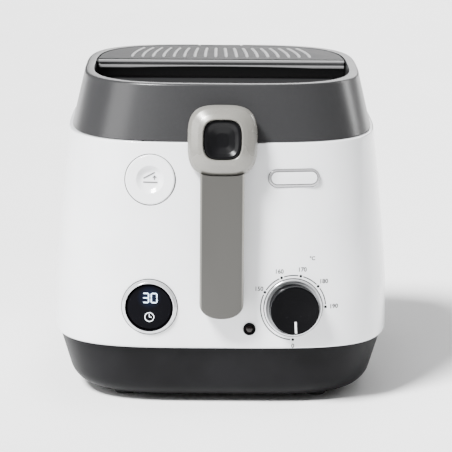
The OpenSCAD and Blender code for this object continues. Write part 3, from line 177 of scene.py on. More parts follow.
def sharpEdges(bm, angle=1.0):
    return [e for e in bm.edges if e.calc_face_angle(0) > angle]


def placed(bm, where):
    bmesh.ops.transform(bm, matrix=where, verts=bm.verts)
    return bm


def moved(bm, step):
    bmesh.ops.translate(bm, verts=bm.verts, vec=step)
    return bm


def pushed(bm, step):  # makes a flat shape solid by carrying its faces one step along
    made = bmesh.ops.extrude_face_region(bm, geom=bm.faces[:])["geom"]
    bmesh.ops.translate(bm, verts=pickVerts(made), vec=step)
    bmesh.ops.recalc_face_normals(bm, faces=bm.faces)
    return bm


def turned(profile, segments=160, where=None, closed=False):  # (radius, depth) spun about Y
    bm = bmesh.new()
    verts = [bm.verts.new((radius, depth, 0)) for radius, depth in profile]
    pairs = list(zip(verts, verts[1:] + verts[:1])) if closed else list(zip(verts, verts[1:]))
    edges = [bm.edges.new(pair) for pair in pairs]
    bmesh.ops.spin(bm, geom=verts + edges, cent=(0, 0, 0), axis=(0, 1, 0), dvec=(0, 0, 0),
                   angle=2 * math.pi, steps=segments, use_merge=True)
    bmesh.ops.remove_doubles(bm, verts=bm.verts, dist=1e-4)
    bmesh.ops.recalc_face_normals(bm, faces=bm.faces)
    return placed(bm, where) if where else bm


def block(size, centre, rounding=0, steps=3):
    bm = bmesh.new()
    bmesh.ops.create_cube(bm, size=1, matrix=Matrix.Translation(centre) @ Matrix.Diagonal((*size, 1)))
    if rounding:
        soften(bm, bm.edges[:], rounding, steps)
    return bm


def rod(radius, start, end, segments=32):
    start, end = Vector(start), Vector(end)
    along = end - start
    where = Matrix.Translation((start + end) / 2) @ along.to_track_quat("Z", "Y").to_matrix().to_4x4()
    bm = bmesh.new()
    bmesh.ops.create_cone(bm, cap_ends=True, segments=segments, radius1=radius, radius2=radius,
                          depth=along.length, matrix=where)
    return bm


def join(*parts):
    whole = bmesh.new()
    for part in parts:
        mesh = bpy.data.meshes.new("part")
        part.to_mesh(mesh)
        part.free()
        whole.from_mesh(mesh)
        bpy.data.meshes.remove(mesh)
    return whole


def addThing(name, data):
    made = bpy.data.objects.new(name, data)
    bpy.context.scene.collection.objects.link(made)
    return made


def asObject(bm, name):
    mesh = bpy.data.meshes.new(name)
    bm.to_mesh(mesh)
    bm.free()
    return addThing(name, mesh)


def carve(bm, tools, operation="DIFFERENCE"):  # cuts the tools out of a shape, or keeps what they share
    work = asObject(bm, "work")
    for tool in tools:
        other = asObject(tool, "tool")
        modifier = work.modifiers.new("carve", "BOOLEAN")
        modifier.operation, modifier.solver, modifier.object = operation, "EXACT", other
        mesh = bpy.data.meshes.new_from_object(work.evaluated_get(bpy.context.evaluated_depsgraph_get()))
        work.modifiers.clear()
        work.data = mesh
        bpy.data.objects.remove(other)
    out = bmesh.new()
    out.from_mesh(work.data)
    bpy.data.objects.remove(work)
    bmesh.ops.dissolve_degenerate(out, dist=1e-4, edges=out.edges)
    return out


# shades and paints a finished piece, puts it in the frame on its body, and hides the nodes that it stands for
def settle(name, bm, rider, finish, stands=(), sharp=34):
    for edge in bm.edges:
        edge.smooth = edge.calc_face_angle(0) < math.radians(sharp)
    for face in bm.faces:
        face.smooth = True
    bmesh.ops.transform(bm, matrix=intoFrame, verts=bm.verts)
    made = asObject(bm, name)
    made.data.materials.clear()
    made.data.materials.append(finishes[finish])
    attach(made, rider)
    if stands:
        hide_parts(*stands)
    return made


print("finishes")


def newFinish(colour, roughness, metallic=0.0, coat=0.0, mirror=0.5):
    finish = bpy.data.materials.new("finish")
    finish.use_nodes = True
    shader = finish.node_tree.nodes["Principled BSDF"]
    values = {"Base Color": (*colour, 1), "Roughness": roughness, "Metallic": metallic, "Coat Weight": coat,
              "Coat Roughness": 0.06, "Specular IOR Level": mirror}
    for key, value in values.items():
        shader.inputs[key].default_value = value
    return finish, finish.node_tree, shader


def addNode(tree, kind, **settings):
    node = tree.nodes.new(kind)
    for key, value in settings.items():
        setattr(node, key, value)
    return node


def grainOf(tree, scale, stretch=(1, 1, 1), detail=3.0, kind="ShaderNodeTexNoise"):
    where = addNode(tree, "ShaderNodeTexCoord")
    fit = addNode(tree, "ShaderNodeMapping")
    fit.inputs["Scale"].default_value = stretch
    grain = tree.nodes.new(kind)
    grain.inputs["Scale"].default_value = scale
    if "Detail" in grain.inputs.keys():
        grain.inputs["Detail"].default_value = detail
    tree.links.new(where.outputs["Object"], fit.inputs["Vector"])
    tree.links.new(fit.outputs["Vector"], grain.inputs["Vector"])
    return grain


def tintBy(tree, shader, source, dark, light, low=0.35, high=0.65):  # colour between two tones
    ramp = addNode(tree, "ShaderNodeValToRGB")
    ramp.color_ramp.elements[0].position, ramp.color_ramp.elements[1].position = low, high
    ramp.color_ramp.elements[0].color, ramp.color_ramp.elements[1].color = (*dark, 1), (*light, 1)
    tree.links.new(source, ramp.inputs["Fac"])
    tree.links.new(ramp.outputs["Color"], shader.inputs["Base Color"])


def setSpan(span, fromLow, fromHigh, toLow, toHigh):
    for key, value in (("From Min", fromLow), ("From Max", fromHigh), ("To Min", toLow), ("To Max", toHigh)):
        span.inputs[key].default_value = value


def glossBy(tree, shader, source, low, high):  # roughness between two values
    span = addNode(tree, "ShaderNodeMapRange")
    setSpan(span, 0.0, 1.0, low, high)
    tree.links.new(source, span.inputs["Value"])
    tree.links.new(span.outputs["Result"], shader.inputs["Roughness"])


def reliefBy(tree, shader, source, strength, distance):
    relief = addNode(tree, "ShaderNodeBump")
    relief.inputs["Strength"].default_value = strength
    relief.inputs["Distance"].default_value = distance
    tree.links.new(source, relief.inputs["Height"])
    tree.links.new(relief.outputs["Normal"], shader.inputs["Normal"])


def glossFrom(tree, shader, scale, gloss):  # roughness that drifts between two values
    glossBy(tree, shader, grainOf(tree, scale).outputs["Fac"], *gloss)


def moulded(dark, light, gloss, grain=1800, relief=0.25, coat=0.0, metallic=0.0, mirror=0.5):  # a fine grain
    finish, tree, shader = newFinish(light, gloss[1], metallic, coat, mirror)
    cloud, fine = grainOf(tree, 22), grainOf(tree, grain, detail=2.0)
    tintBy(tree, shader, cloud.outputs["Fac"], dark, light)
    glossBy(tree, shader, cloud.outputs["Fac"], *gloss)
    reliefBy(tree, shader, fine.outputs["Fac"], relief, 0.00006)
    return finish


def finePaint(tree, shader, gloss):
    glossFrom(tree, shader, 26, gloss)
    reliefBy(tree, shader, grainOf(tree, 2600, detail=2.0).outputs["Fac"], 0.12, 0.00005)


def lacquered(dark, light, gloss, metallic=0.0, coat=0.0, mirror=0.5):  # fine metal flakes in a paint
    finish, tree, shader = newFinish(light, gloss[1], metallic, coat, mirror)
    flakes = grainOf(tree, 5200, detail=0.0, kind="ShaderNodeTexVoronoi")
    tintBy(tree, shader, flakes.outputs["Color"], dark, light, 0.15, 0.85)
    finePaint(tree, shader, gloss)
    return finish


def brushed(dark, light, gloss, stretch=(1, 1, 1), grain=260):  # drawn lines along one direction
    finish, tree, shader = newFinish(light, gloss[1], 1.0)
    lines = grainOf(tree, grain, stretch)
    tintBy(tree, shader, lines.outputs["Fac"], dark, light, 0.3, 0.7)
    glossFrom(tree, shader, 30, gloss)
    reliefBy(tree, shader, lines.outputs["Fac"], 0.3, 0.00006)
    return finish


finishes = {
    "shellWhite": moulded((0.79, 0.8, 0.82), (0.83, 0.84, 0.855), (0.2, 0.27), grain=420, relief=0.1,
                          coat=0.6),
    "badgeWhite": moulded((0.74, 0.75, 0.77), (0.79, 0.8, 0.82), (0.2, 0.26), grain=900, relief=0.1,
                          coat=0.6),
    "baseGrey": moulded((0.006, 0.006, 0.0065), (0.009, 0.009, 0.0098), (0.4, 0.5), grain=2100, relief=0.4,
                        mirror=0.05),
    "collarGrey": moulded((0.05, 0.05, 0.053), (0.07, 0.07, 0.074), (0.5, 0.62), grain=2100, relief=0.5),
    "lidGrey": lacquered((0.014, 0.014, 0.0148), (0.027, 0.027, 0.028), (0.26, 0.33), mirror=0.42),
    "coverGrey": lacquered((0.035, 0.035, 0.036), (0.06, 0.06, 0.0612), (0.56, 0.64), mirror=0.2),
    "barGrey": lacquered((0.14, 0.14, 0.143), (0.2, 0.2, 0.203), (0.3, 0.38), metallic=0.1, mirror=0.4),
    "ribGrey": lacquered((0.2, 0.2, 0.203), (0.3, 0.3, 0.304), (0.36, 0.44), metallic=0.1, mirror=0.3),
    "ringTaupe": lacquered((0.15, 0.146, 0.132), (0.2, 0.195, 0.178), (0.24, 0.31), metallic=0.2, coat=0.2),
    "glossBlack": moulded((0.002, 0.002, 0.0024), (0.0035, 0.0035, 0.004), (0.09, 0.12), grain=300,
                          relief=0.03, mirror=0.03),
    "padBlack": moulded((0.002, 0.002, 0.0024), (0.0035, 0.0035, 0.004), (0.26, 0.32), grain=300,
                        relief=0.03, mirror=0.16),
    "bezelPale": moulded((0.62, 0.63, 0.65), (0.7, 0.71, 0.73), (0.14, 0.2), grain=900, relief=0.08,
                         coat=0.3, metallic=0.55),
    # grey of the printed signs, also used as painted shade in the badge's grooves
    "printAndShadeGrey": moulded((0.1, 0.1, 0.105), (0.15, 0.15, 0.155), (0.4, 0.5), grain=900, relief=0.1),
    "badgeSilver": lacquered((0.4, 0.4, 0.41), (0.56, 0.56, 0.57), (0.2, 0.26), metallic=0.6, coat=0.3),
    "feltPad": moulded((0.55, 0.52, 0.44), (0.72, 0.69, 0.6), (0.9, 0.98), grain=900, relief=1.0),
    "charcoalFoam": moulded((0.008, 0.008, 0.008), (0.03, 0.03, 0.03), (0.85, 0.95), grain=700, relief=1.0),
    "rubberBlack": moulded((0.012, 0.012, 0.012), (0.02, 0.02, 0.021), (0.7, 0.85), grain=1500, relief=0.5),
    "ceramicCream": moulded((0.6, 0.56, 0.46), (0.72, 0.69, 0.6), (0.5, 0.62), grain=1600, relief=0.4),
    "sheetSteel": brushed((0.42, 0.42, 0.43), (0.62, 0.62, 0.63), (0.24, 0.36), stretch=(1, 26, 26)),
    "springSteel": brushed((0.36, 0.36, 0.37), (0.52, 0.52, 0.53), (0.28, 0.4), grain=700),
    "castAlloy": brushed((0.42, 0.42, 0.43), (0.56, 0.56, 0.57), (0.45, 0.58), grain=900),
    "sheathSteel": brushed((0.12, 0.11, 0.1), (0.24, 0.22, 0.2), (0.42, 0.55), grain=500),
    "wireSteel": brushed((0.5, 0.5, 0.51), (0.68, 0.68, 0.69), (0.14, 0.24), grain=500),
    "nonStick": moulded((0.02, 0.02, 0.021), (0.04, 0.04, 0.041), (0.32, 0.42), grain=1500, relief=0.35,
                        coat=0.2, metallic=0.2),
    "boardGreen": moulded((0.012, 0.1, 0.04), (0.02, 0.17, 0.07), (0.3, 0.4), grain=900, relief=0.2,
                          coat=0.3),
    "drawnCopper": brushed((0.5, 0.24, 0.12), (0.68, 0.36, 0.2), (0.25, 0.38), grain=600),
}

shellHole = {"button": 20.9, "timer": 20.1, "timerSeat": 22.9, "dish": 18, "dishSeat": 24.05, "lamp": 4.35,
             "seatDeep": 1.4, "badge": (42.7, 15.0), "badgeDeep": 1.2, "badgeCut": 6, "before": -4,
             "through": 12}
place = {"button": onFront(-58, 186), "timer": onFront(-58, 83.5), "dial": onFront(58, 83.5),
         "lamp": onFront(22.8, 66), "badge": onFront(58, 188)}


def bore(radius, start, end, where):
    return turned([(0, start), (radius, start), (radius, end), (0, end)], where=where)


def pill(width, height, depth, where, rounding=0.0):  # a bar with round ends, standing in the front
    bm = bmesh.new()
    bmesh.ops.create_circle(bm, cap_ends=True, segments=64, radius=height / 2)
    for vert in bm.verts:
        vert.co.x += math.copysign((width - height) / 2, vert.co.x) if abs(vert.co.x) > 1e-4 else 0
    bmesh.ops.rotate(bm, verts=bm.verts, cent=(0, 0, 0), matrix=Matrix.Rotation(math.pi / 2, 3, "X"))
    pushed(bm, (0, depth, 0))
    if rounding:
        soften(bm, [e for e in bm.edges if abs(e.verts[0].co.y - e.verts[1].co.y) < 1e-5], rounding, 4)
    return placed(bm, where)


print("housing")
shellWall = {"thick": 2.6, "footRadius": 3.2, "lipRadius": 2.0, "ledge": 5.4, "rise": 40}


def shellLevels():
    topIn, wall = shellInset(body["topZ"]), shellWall["thick"]
    rise = [body["widestZ"] + (body["topZ"] - 2 - body["widestZ"]) * k / shellWall["rise"]
            for k in range(shellWall["rise"] + 1)]
    foot, seam = shellWall["footRadius"], body["seamZ"]
    outside = eased([(foot + 1, seam), (0, seam, foot), (0, body["widestZ"] - 1)], 6)
    low = [(0, 53 + 5 * k) for k in range(1, 7)]
    lip = eased([(shellInset(rise[-1]), rise[-1]), (topIn, body["topZ"], shellWall["lipRadius"]),
                 (topIn + shellWall["ledge"], body["topZ"])], 6)
    inside = [(topIn + shellWall["ledge"], body["topZ"] - wall), (topIn + wall, body["topZ"] - wall)]
    inside += [(shellInset(z) + wall, z) for z in (190, 167, 140, 110, 88)]
    inside += [(wall, seam + 8), (5.6, seam + 4), (5.6, seam)]
    return outside[:-1] + low + [(shellInset(z), z) for z in rise[:-1]] + lip + inside


hinge = {"y": 158.5, "z": 220.0, "radius": 5.5, "pin": 2.56, "knuckleX": 30.0, "knuckle": 7.0, "lug": 8.0,
         "lugX": 37.8, "round": 0.4}
sides = ((-1, "Left"), (1, "Right"))


def hingeArm(x, width, outline):  # a round eye on the pin with an arm to the wall, seen from the side
    y, z = hinge["y"], hinge["z"]
    eye = rod(hinge["radius"], (x - width / 2, y, z), (x + width / 2, y, z), 48)
    pin = rod(hinge["pin"], (x - width, y, z), (x + width, y, z), 48)
    arm = bmesh.new()
    arm.faces.new([arm.verts.new((x - width / 2, y, z)) for y, z in outline])
    whole = carve(carve(eye, [pushed(arm, (width, 0, 0))], "UNION"), [pin])
    soften(whole, sharpEdges(whole, 0.7), hinge["round"], 2, True)
    return whole


def makeShell():
    shell = loft(shellLevels(), closed=True)
    before, through, seat = shellHole["before"], shellHole["through"], shellHole["seatDeep"]
    bores = (("button", "button", through / 2), ("timer", "timer", through), ("timerSeat", "timer", seat),
             ("dish", "dial", through), ("dishSeat", "dial", seat), ("lamp", "lamp", through * 0.75))
    cuts = [bore(shellHole[hole], before, deep, place[where]) for hole, where, deep in bores]
    cut = shellHole["badgeCut"]
    sunk = place["badge"] @ Matrix.Translation((0, shellHole["badgeDeep"] - cut, 0))
    cuts.append(pill(*shellHole["badge"], cut, sunk))
    neckSlot, latchSlot = block((28, 40, 40), (0, -145, 230.8)), block((14, 20, 20), (-58, -137.6, 220.8))
    return carve(shell, cuts + [neckSlot, latchSlot])


settle("housingShell", makeShell(), "root", "shellWhite", ["body_shell"])
wallRear = body["halfDepth"] - shellInset(204) - 1
lugOutline = [(wallRear, 196), (wallRear, 213), (hinge["y"] - 5.4, 218), (hinge["y"] - 5.4, 220),
              (hinge["y"] + 5.4, 220)]
for side, sideName in sides:
    lug = hingeArm(side * hinge["lugX"], hinge["lug"], lugOutline)
    settle("hingeLug" + sideName, lug, "root", "shellWhite")

badge = {"width": 41.7, "height": 14.0, "proud": 0.9, "border": 1.6, "hollow": 0.85, "gap": 0.55,
         "deep": 1.0, "rimRound": 0.55, "sunk": 0.25, "fieldRound": 0.25, "line": 0.05}


def badgePlate(smaller, near, deep, rounding=0.0):  # one layer of the badge, between two depths
    return pill(badge["width"] - 2 * smaller, badge["height"] - 2 * smaller, deep - near,
                Matrix.Translation((0, near, 0)), rounding)


badgeFront = -badge["proud"]
badgeFloor = badgeFront + badge["hollow"]
badgeHollow = badgePlate(badge["border"], badgeFront - 3, badgeFloor)
badgeRim = carve(badgePlate(0, badgeFront, badge["deep"], badge["rimRound"]), [badgeHollow])
settle("badgeRim", placed(badgeRim, place["badge"]), "root", "badgeSilver", ["badge_rim"])
# painted shade: thin dark sheets laid on the floor of the badge's hollow and behind its outer gap so that the
# grooves read dark
innerGrooveShade = badgePlate(badge["border"] + 0.02, badgeFloor - 2 * badge["line"], badgeFloor + badge["line"])
grooveShades = join(innerGrooveShade, badgePlate(-0.4, badge["deep"], badge["deep"] + 3 * badge["line"]))
settle("badgeGrooveShade", placed(grooveShades, place["badge"]), "root", "printAndShadeGrey")
badgeField = badgePlate(badge["border"] + badge["gap"], badgeFront + badge["sunk"],
                        badgeFloor - badge["line"], badge["fieldRound"])
settle("badgeField", placed(badgeField, place["badge"]), "root", "badgeWhite")

print("base")
base = {"edge": 13.0, "wall": 3.0, "lip": 2.2, "lipHigh": 6.0, "lipInset": 5.9, "vents": 7, "ventPitch": 9.0,
        "ventSize": (46, 4), "feet": (79, 112), "footRadius": 8.5, "bosses": (72, 84), "bossHole": 3.7,
        "leadHole": 7.2}


def corners(x, y):
    return [(sx * x, sy * y) for sx in (-1, 1) for sy in (-1, 1)]


def makeBase():
    low, edge, wall, seam = body["floorZ"], base["edge"], base["wall"], body["seamZ"]
    under = [(edge * (1 - math.sin(a)), low + edge * (1 - math.cos(a)))
             for a in [math.pi / 2 * k / 12 for k in range(13)]]
    under = [(baseInset(z) + further, z) for further, z in under]
    side = [(baseInset(z), z) for z in (21, 28, 35, 42, 47.6)]
    lipOut, lipIn, lipTop = base["lipInset"], base["lipInset"] + base["lip"], seam + base["lipHigh"]
    top = eased([(baseInset(48.4), 48.4), (body["baseStep"], seam, 0.8), (lipOut, seam), (lipOut, lipTop),
                 (lipIn, lipTop), (lipIn, seam - 1), (baseInset(low + edge) + wall, low + edge),
                 (under[0][0], low + wall)], 3)
    tray = loft(under + side + top)
    footHole = base["footRadius"] + 0.2
    cuts = [rod(footHole, (x, y, -2), (x, y, low + 1.4), 96) for x, y in corners(*base["feet"])]
    cuts += [rod(base["bossHole"], (x, y, -2), (x, y, 8.4), 48) for x, y in corners(*base["bosses"])]
    width, height = base["ventSize"]
    cuts += [block((width, height, 14), (0, (k - (base["vents"] - 1) / 2) * base["ventPitch"], 5), 1.8, 4)
             for k in range(base["vents"])]
    cuts.append(rod(base["leadHole"], (62, 120, 28), (62, 175, 28), 64))
    return carve(tray, cuts)


settle("baseShell", makeBase(), "root", "baseGrey", ["base_tray"])
footFace = eased([(0, 0.8), (4.5, 0.8, 0.3), (3.9, 0, 0.3), (7.5, 0, 0.8), (base["footRadius"], 1, 0.6),
                  (base["footRadius"], 6.2), (0, 6.2)], 4)
for end, endSide in (("front", -1), ("rear", 1)):
    for side, sideName in sides:
        node = "foot_" + end + "_" + sideName.lower()
        at = Matrix.Translation((side * base["feet"][0], endSide * base["feet"][1], 0))
        foot = turned(footFace, 64, at @ Matrix.Rotation(math.pi / 2, 4, "X"))
        name = node.replace("foot", "rubberFoot")
        settle(name, foot, "root", "rubberBlack", [node])

print("lid")
lid = {"wall": 2.4, "rimInset": 32.05, "shoulder": 3.0, "wellLow": 245.1, "wellRadius": 820.78,
       "coverFront": 19.0, "wellBack": 31.0, "divider": 2.5, "ledgeZ": 258.8, "pocketInset": 36.05,
       "pocketZ": 239.6, "ceilingZ": 237.2, "tab": 36.6, "tabGap": 1.8, "coverPinY": 137.85,
       "coverPinZ": 259.2, "notch": 28.0, "notchLow": 211.5, "notchTop": 244.2, "vent": (18, 6, 9),
       "edge": 1.0}


def prism(inset, low, high):  # an upright wall on the plan outline of its lowest level
    def plan(angle, far, z):
        return Vector((*bodyPlan(angle, far, low).xy, z))

    return loft([(inset, low), (inset, high)], plan=plan)


def wellRoller(extra):
    z = lid["wellLow"] + lid["wellRadius"]
    return rod(lid["wellRadius"] + extra, (-160, lid["coverFront"], z), (160, lid["coverFront"], z), 900)


def ahead(y):
    return block((400, 300, 400), (0, y - 150, 250))


def behind(y):
    return block((400, 300, 400), (0, y + 150, 250))


def makeLid():
    rim, top = body["rimZ"], lidInset(body["rimZ"])
    low = body["lidZ"]
    wall, ceiling, back = lid["wall"], lid["ceilingZ"], lid["wellBack"]
    rise = [low + 0.6 + (rim - 4.2 - low) * k / 16 for k in range(17)]
    levels = [(lidInset(ceiling) + wall, ceiling), (lidInset(low) + wall, low)]
    levels += eased([(lidInset(low) + 1, low), (lidInset(low), low, 0.5), (lidInset(rise[0]), rise[0])], 3)
    levels += [(lidInset(z), z) for z in rise]
    shoulder = [(lidInset(rim - 3.4), rim - 3.4), (top - 0.1, rim, lid["shoulder"]), (top + 4, rim)]
    levels += eased(shoulder, 8)[1:]
    shell = loft(levels)
    well = prism(lid["rimInset"], lid["wellLow"] - 2, rim + 4)
    well = carve(well, [wellRoller(0), ahead(back)], "INTERSECT")
    hollow = carve(prism(lid["rimInset"] + wall, ceiling - 2, rim), [ahead(back)], "INTERSECT")
    hollow = carve(hollow, [wellRoller(wall)])
    seat = carve(prism(lid["rimInset"], lid["ledgeZ"], rim + 4), [behind(back - 1)], "INTERSECT")
    pocket = prism(lid["pocketInset"], lid["pocketZ"], rim + 4)
    pocket = carve(pocket, [behind(back + lid["divider"])], "INTERSECT")
    tabWide, pinY, pinZ = lid["tab"] + 2 * lid["tabGap"], lid["coverPinY"], lid["coverPinZ"]
    tabSpace = block((tabWide, 20, 12), (0, pinY + 5, pinZ + 3), 0.6)
    notchLow, notchTop = lid["notchLow"], lid["notchTop"]
    neckSpace = block((lid["notch"], 40, notchTop - notchLow), (0, -145, (notchTop + notchLow) / 2))
    vents = [(30 * i, back + lid["divider"] + 19 + 26 * j) for i in range(-2, 3) for j in range(3)]
    slots = [block(lid["vent"], (x, y, ceiling + 1), 1.2) for x, y in vents]
    shell = carve(shell, [well, hollow, seat, pocket, tabSpace, neckSpace] + slots)
    edges = [e for e in sharpEdges(shell) if min(v.co.z for v in e.verts) > rim - 0.05]
    soften(shell, edges, lid["edge"], 4, True)
    return shell


settle("lidShell", makeLid(), "lid", "lidGrey", ["lid_shell"])
lidWall = body["halfDepth"] - lidInset(body["lidZ"] + 10) - 1
knuckleOutline = [(hinge["y"] - 4, 217.5), (hinge["y"] + 4, 223.7), (lidWall, body["lidZ"] + 21),
                  (lidWall, body["lidZ"] + 6)]
for side, sideName in sides:
    knuckle = hingeArm(side * hinge["knuckleX"], hinge["knuckle"], knuckleOutline)
    settle("hingeKnuckle" + sideName, knuckle, "lid", "lidGrey")

print("filter cover")
cover = {"inset": 33.25, "low": 259.0, "top": 261.4, "ribs": 18, "pitch": 9.13, "ribWidth": 3.0,
         "ribHigh": 0.9, "ribStart": 43.0, "ribLength": 69.0, "slot": 1.4, "bend": 0.13, "barLength": 212.0,
         "tabThick": 2.4, "knuckle": 2.2, "edge": 0.5}


def ribPath(x, share):
    along = cover["ribStart"] + cover["ribLength"] * share
    return Vector((x * (1 - cover["bend"] * share * share), along, 0))


def makeRib(x, width, height, start=0.0, end=1.0, steps=16):  # a low rounded bar along its bent path
    bm = bmesh.new()
    across = 6
    first = [bm.verts.new((0, 0, 0)) for _ in range(across + 1)]
    edges = [bm.edges.new(pair) for pair in zip(first, first[1:])]

    def lay(verts, share):
        middle = ribPath(x, start + (end - start) * share)
        fade = math.sqrt(max(0.0, 1 - (2 * abs(share - 0.5)) ** 14))
        for k, vert in enumerate(verts):
            a = math.pi * k / across
            aside, up = math.cos(a) * width / 2 * max(fade, 0.3), math.sin(a) * height * fade
            vert.co = middle + Vector((-aside, 0, up))

    lay(first, 0)
    row = first
    for step in range(1, steps + 1):
        edges, fresh = carryOn(bm, edges)
        row = [next(e.other_vert(old) for e in old.link_edges if e.other_vert(old) in fresh) for old in row]
        lay(row, step / steps)
    bmesh.ops.contextual_create(bm, geom=[e for e in bm.edges if e.is_boundary])
    bmesh.ops.recalc_face_normals(bm, faces=bm.faces)
    return bm


def makeCoverPlate():
    plate = prism(cover["inset"], cover["low"], cover["top"])
    soften(plate, sharpEdges(plate), cover["edge"], 3)
    slots = []
    for i in range(cover["ribs"] - 1):
        slot = makeRib((i + 0.5 - (cover["ribs"] - 1) / 2) * cover["pitch"], cover["slot"], 8, 0.06, 0.94)
        slots.append(moved(slot, (0, 0, cover["low"] - 2)))
    return carve(plate, [ahead(lid["coverFront"] + 4)] + [join(*slots)])


def makeCoverBar():
    front, low, top, lip = lid["coverFront"], cover["low"] - 4.2, cover["top"], 1.9
    points = eased([(front + 10, cover["low"]), (front + 10, top), (front, top, 0.6),
                    (front, top - lip, 0.4), (front + 2.2, top - lip - 0.2, 0.4),
                    (front + 2.2, low + lip + 0.6, 0.4), (front + 0.4, low + lip + 0.3, 0.4),
                    (front + 0.4, low, 0.5), (front + 3.5, low, 0.8), (front + 4.5, cover["low"])], 4)
    bm = bmesh.new()
    half, steps = cover["barLength"] / 2, 40
    end = bm.faces.new([bm.verts.new((-half, y, z)) for y, z in points])
    edges = end.edges[:]
    for step in range(steps):
        edges, fresh = carryOn(bm, edges)
        bmesh.ops.translate(bm, verts=fresh, vec=(2 * half / steps, 0, 0))
    bmesh.ops.edgeloop_fill(bm, edges=edges)
    for vert in bm.verts:
        if vert.co.z < low + 1.4:
            vert.co.z += max(0.0, 1.2 - vert.co.x ** 2 / 5200) * (1 if vert.co.z < low + 0.7 else 0.4)
    bmesh.ops.recalc_face_normals(bm, faces=bm.faces)
    return bm


settle("coverPlate", makeCoverPlate(), "filter_cover", "coverGrey", ["filter_cover"])
settle("coverBar", makeCoverBar(), "filter_cover", "barGrey")
ribs = [makeRib((i - (cover["ribs"] - 1) / 2) * cover["pitch"], cover["ribWidth"], cover["ribHigh"])
        for i in range(cover["ribs"])]
settle("coverRibs", moved(join(*ribs), (0, 0, cover["top"] - 0.05)), "filter_cover", "ribGrey")
coverBack = body["halfDepth"] - cover["inset"]
wide, pinY, pinZ, thick = lid["tab"], lid["coverPinY"], lid["coverPinZ"], cover["tabThick"]
tabMiddle = (0, (pinY + coverBack) / 2 - 3, cover["low"] + thick / 2)
tabPlate = block((wide, pinY - coverBack + 6, thick), tabMiddle, cover["edge"])
tabKnuckle = rod(cover["knuckle"], (-wide / 2, pinY, pinZ), (wide / 2, pinY, pinZ), 48)
settle("coverTab", join(tabPlate, tabKnuckle), "filter_cover", "coverGrey")

print("controls")


def onSurface(bm, middleX, middleZ, lift=0.05):  # lays a flat drawing on the curved front
    for vert in bm.verts:
        x, z, thick = middleX + vert.co.x, middleZ + vert.co.y, vert.co.z
        vert.co = Vector((x, frontY(x, z) - lift - thick, z))
    return bm


def lettering(text, size, bold=0.0, height=0.06):  # flat figures in the XY plane, centred
    curve = bpy.data.curves.new("figure", "FONT")
    curve.offset = bold
    curve.body, curve.size, curve.align_x, curve.align_y = text, size, "CENTER", "CENTER"
    made = addThing("figure", curve)
    bpy.context.view_layer.update()
    mesh = bpy.data.meshes.new_from_object(made.evaluated_get(bpy.context.evaluated_depsgraph_get()))
    bm = bmesh.new()
    bm.from_mesh(mesh)
    bpy.data.objects.remove(made)
    bmesh.ops.remove_doubles(bm, verts=bm.verts, dist=1e-4)
    return pushed(bm, (0, 0, height))


def arc(radius, width, start, end, height=0.06, steps=72):  # a flat band, angles clockwise from the top
    bm = bmesh.new()
    a = math.radians(90 - start)
    reaches = (radius - width / 2, radius + width / 2)
    ends = [bm.verts.new((r * math.cos(a), r * math.sin(a), 0)) for r in reaches]
    edge = bm.edges.new(ends)
    bmesh.ops.spin(bm, geom=ends + [edge], cent=(0, 0, 0), axis=(0, 0, -1), dvec=(0, 0, 0),
                   angle=math.radians(end - start), steps=steps, use_merge=False)
    return pushed(bm, (0, 0, height))


def dot(radius, x, y, height=0.06, segments=32):
    bm = bmesh.new()
    bmesh.ops.create_circle(bm, cap_ends=True, segments=segments, radius=radius,
                            matrix=Matrix.Translation((x, y, 0)))
    return pushed(bm, (0, 0, height))


def stroke(width, start, end, height=0.06):  # a straight bar with square ends between two points
    start, end = Vector((*start, 0)), Vector((*end, 0))
    side = (end - start).normalized().cross(Vector((0, 0, 1))) * width / 2
    bm = bmesh.new()
    bm.faces.new([bm.verts.new(p) for p in (start - side, end - side, end + side, start + side)])
    return pushed(bm, (0, 0, height))


def upright(bm, where, lift=0.0):  # turns a flat drawing to stand in a control's own face
    return placed(bm, where @ Matrix.Translation((0, -lift, 0)) @ Matrix.Rotation(math.pi / 2, 4, "X"))


button = {"deep": 2.8, "floor": 7.4, "dimple": 10.9, "lean": 0.5, "radius": 20.2, "signHigh": 0.6,
          "signSunk": 0.35}


def dimpleDepth(x, z):  # a thumb dimple that is deeper towards its top
    far = math.hypot(x, z)
    edge, flat = button["dimple"], button["floor"]
    share = 1 if far < flat else max(0.0, (edge - far) / (edge - flat))
    return button["deep"] * share * (1 + button["lean"] * z / edge)


buttonFace = eased([(0, 3.0), (button["floor"], button["deep"], 5), (button["dimple"], 0.1, 1.2),
                    (11.4, -0.15, 0.6), (19.4, -0.2, 1.0), (button["radius"], 0.5, 0.6),
                    (button["radius"], 6), (18.4, 6), (18.4, 2.6), (13, 4.4), (3, 4.4), (3, 15.5),
                    (0, 15.5)], 6)
lidButton = turned(buttonFace)
for vert in lidButton.verts:
    if math.hypot(vert.co.x, vert.co.z) < button["dimple"] + 0.4 and 0 < vert.co.y < button["deep"] + 0.4:
        vert.co.y *= 1 + button["lean"] * vert.co.z / button["dimple"]
settle("lidButton", placed(lidButton, place["button"]), "lid_button", "shellWhite", ["lid_button"])
# an opening lid over a line, and an arrow that points up
signLines = ((1.0, (-5.9, -2.2), (5.9, -2.2)), (1.0, (-5.7, 0.9), (3.4, 5.8)),
             (0.8, (3.3, -0.2), (3.3, 2.6)), (0.8, (1.9, 1.5), (3.5, 3.1)), (0.8, (4.7, 1.5), (3.1, 3.1)))
lidSign = join(*[stroke(width, start, end, button["signHigh"]) for width, start, end in signLines])
for vert in lidSign.verts:
    x, z, out = vert.co
    vert.co = Vector((x, dimpleDepth(x, z) + button["signSunk"] - out, z))
bmesh.ops.recalc_face_normals(lidSign, faces=lidSign.faces)
settle("lidButtonSign", placed(lidSign, place["button"]), "lid_button", "printAndShadeGrey")

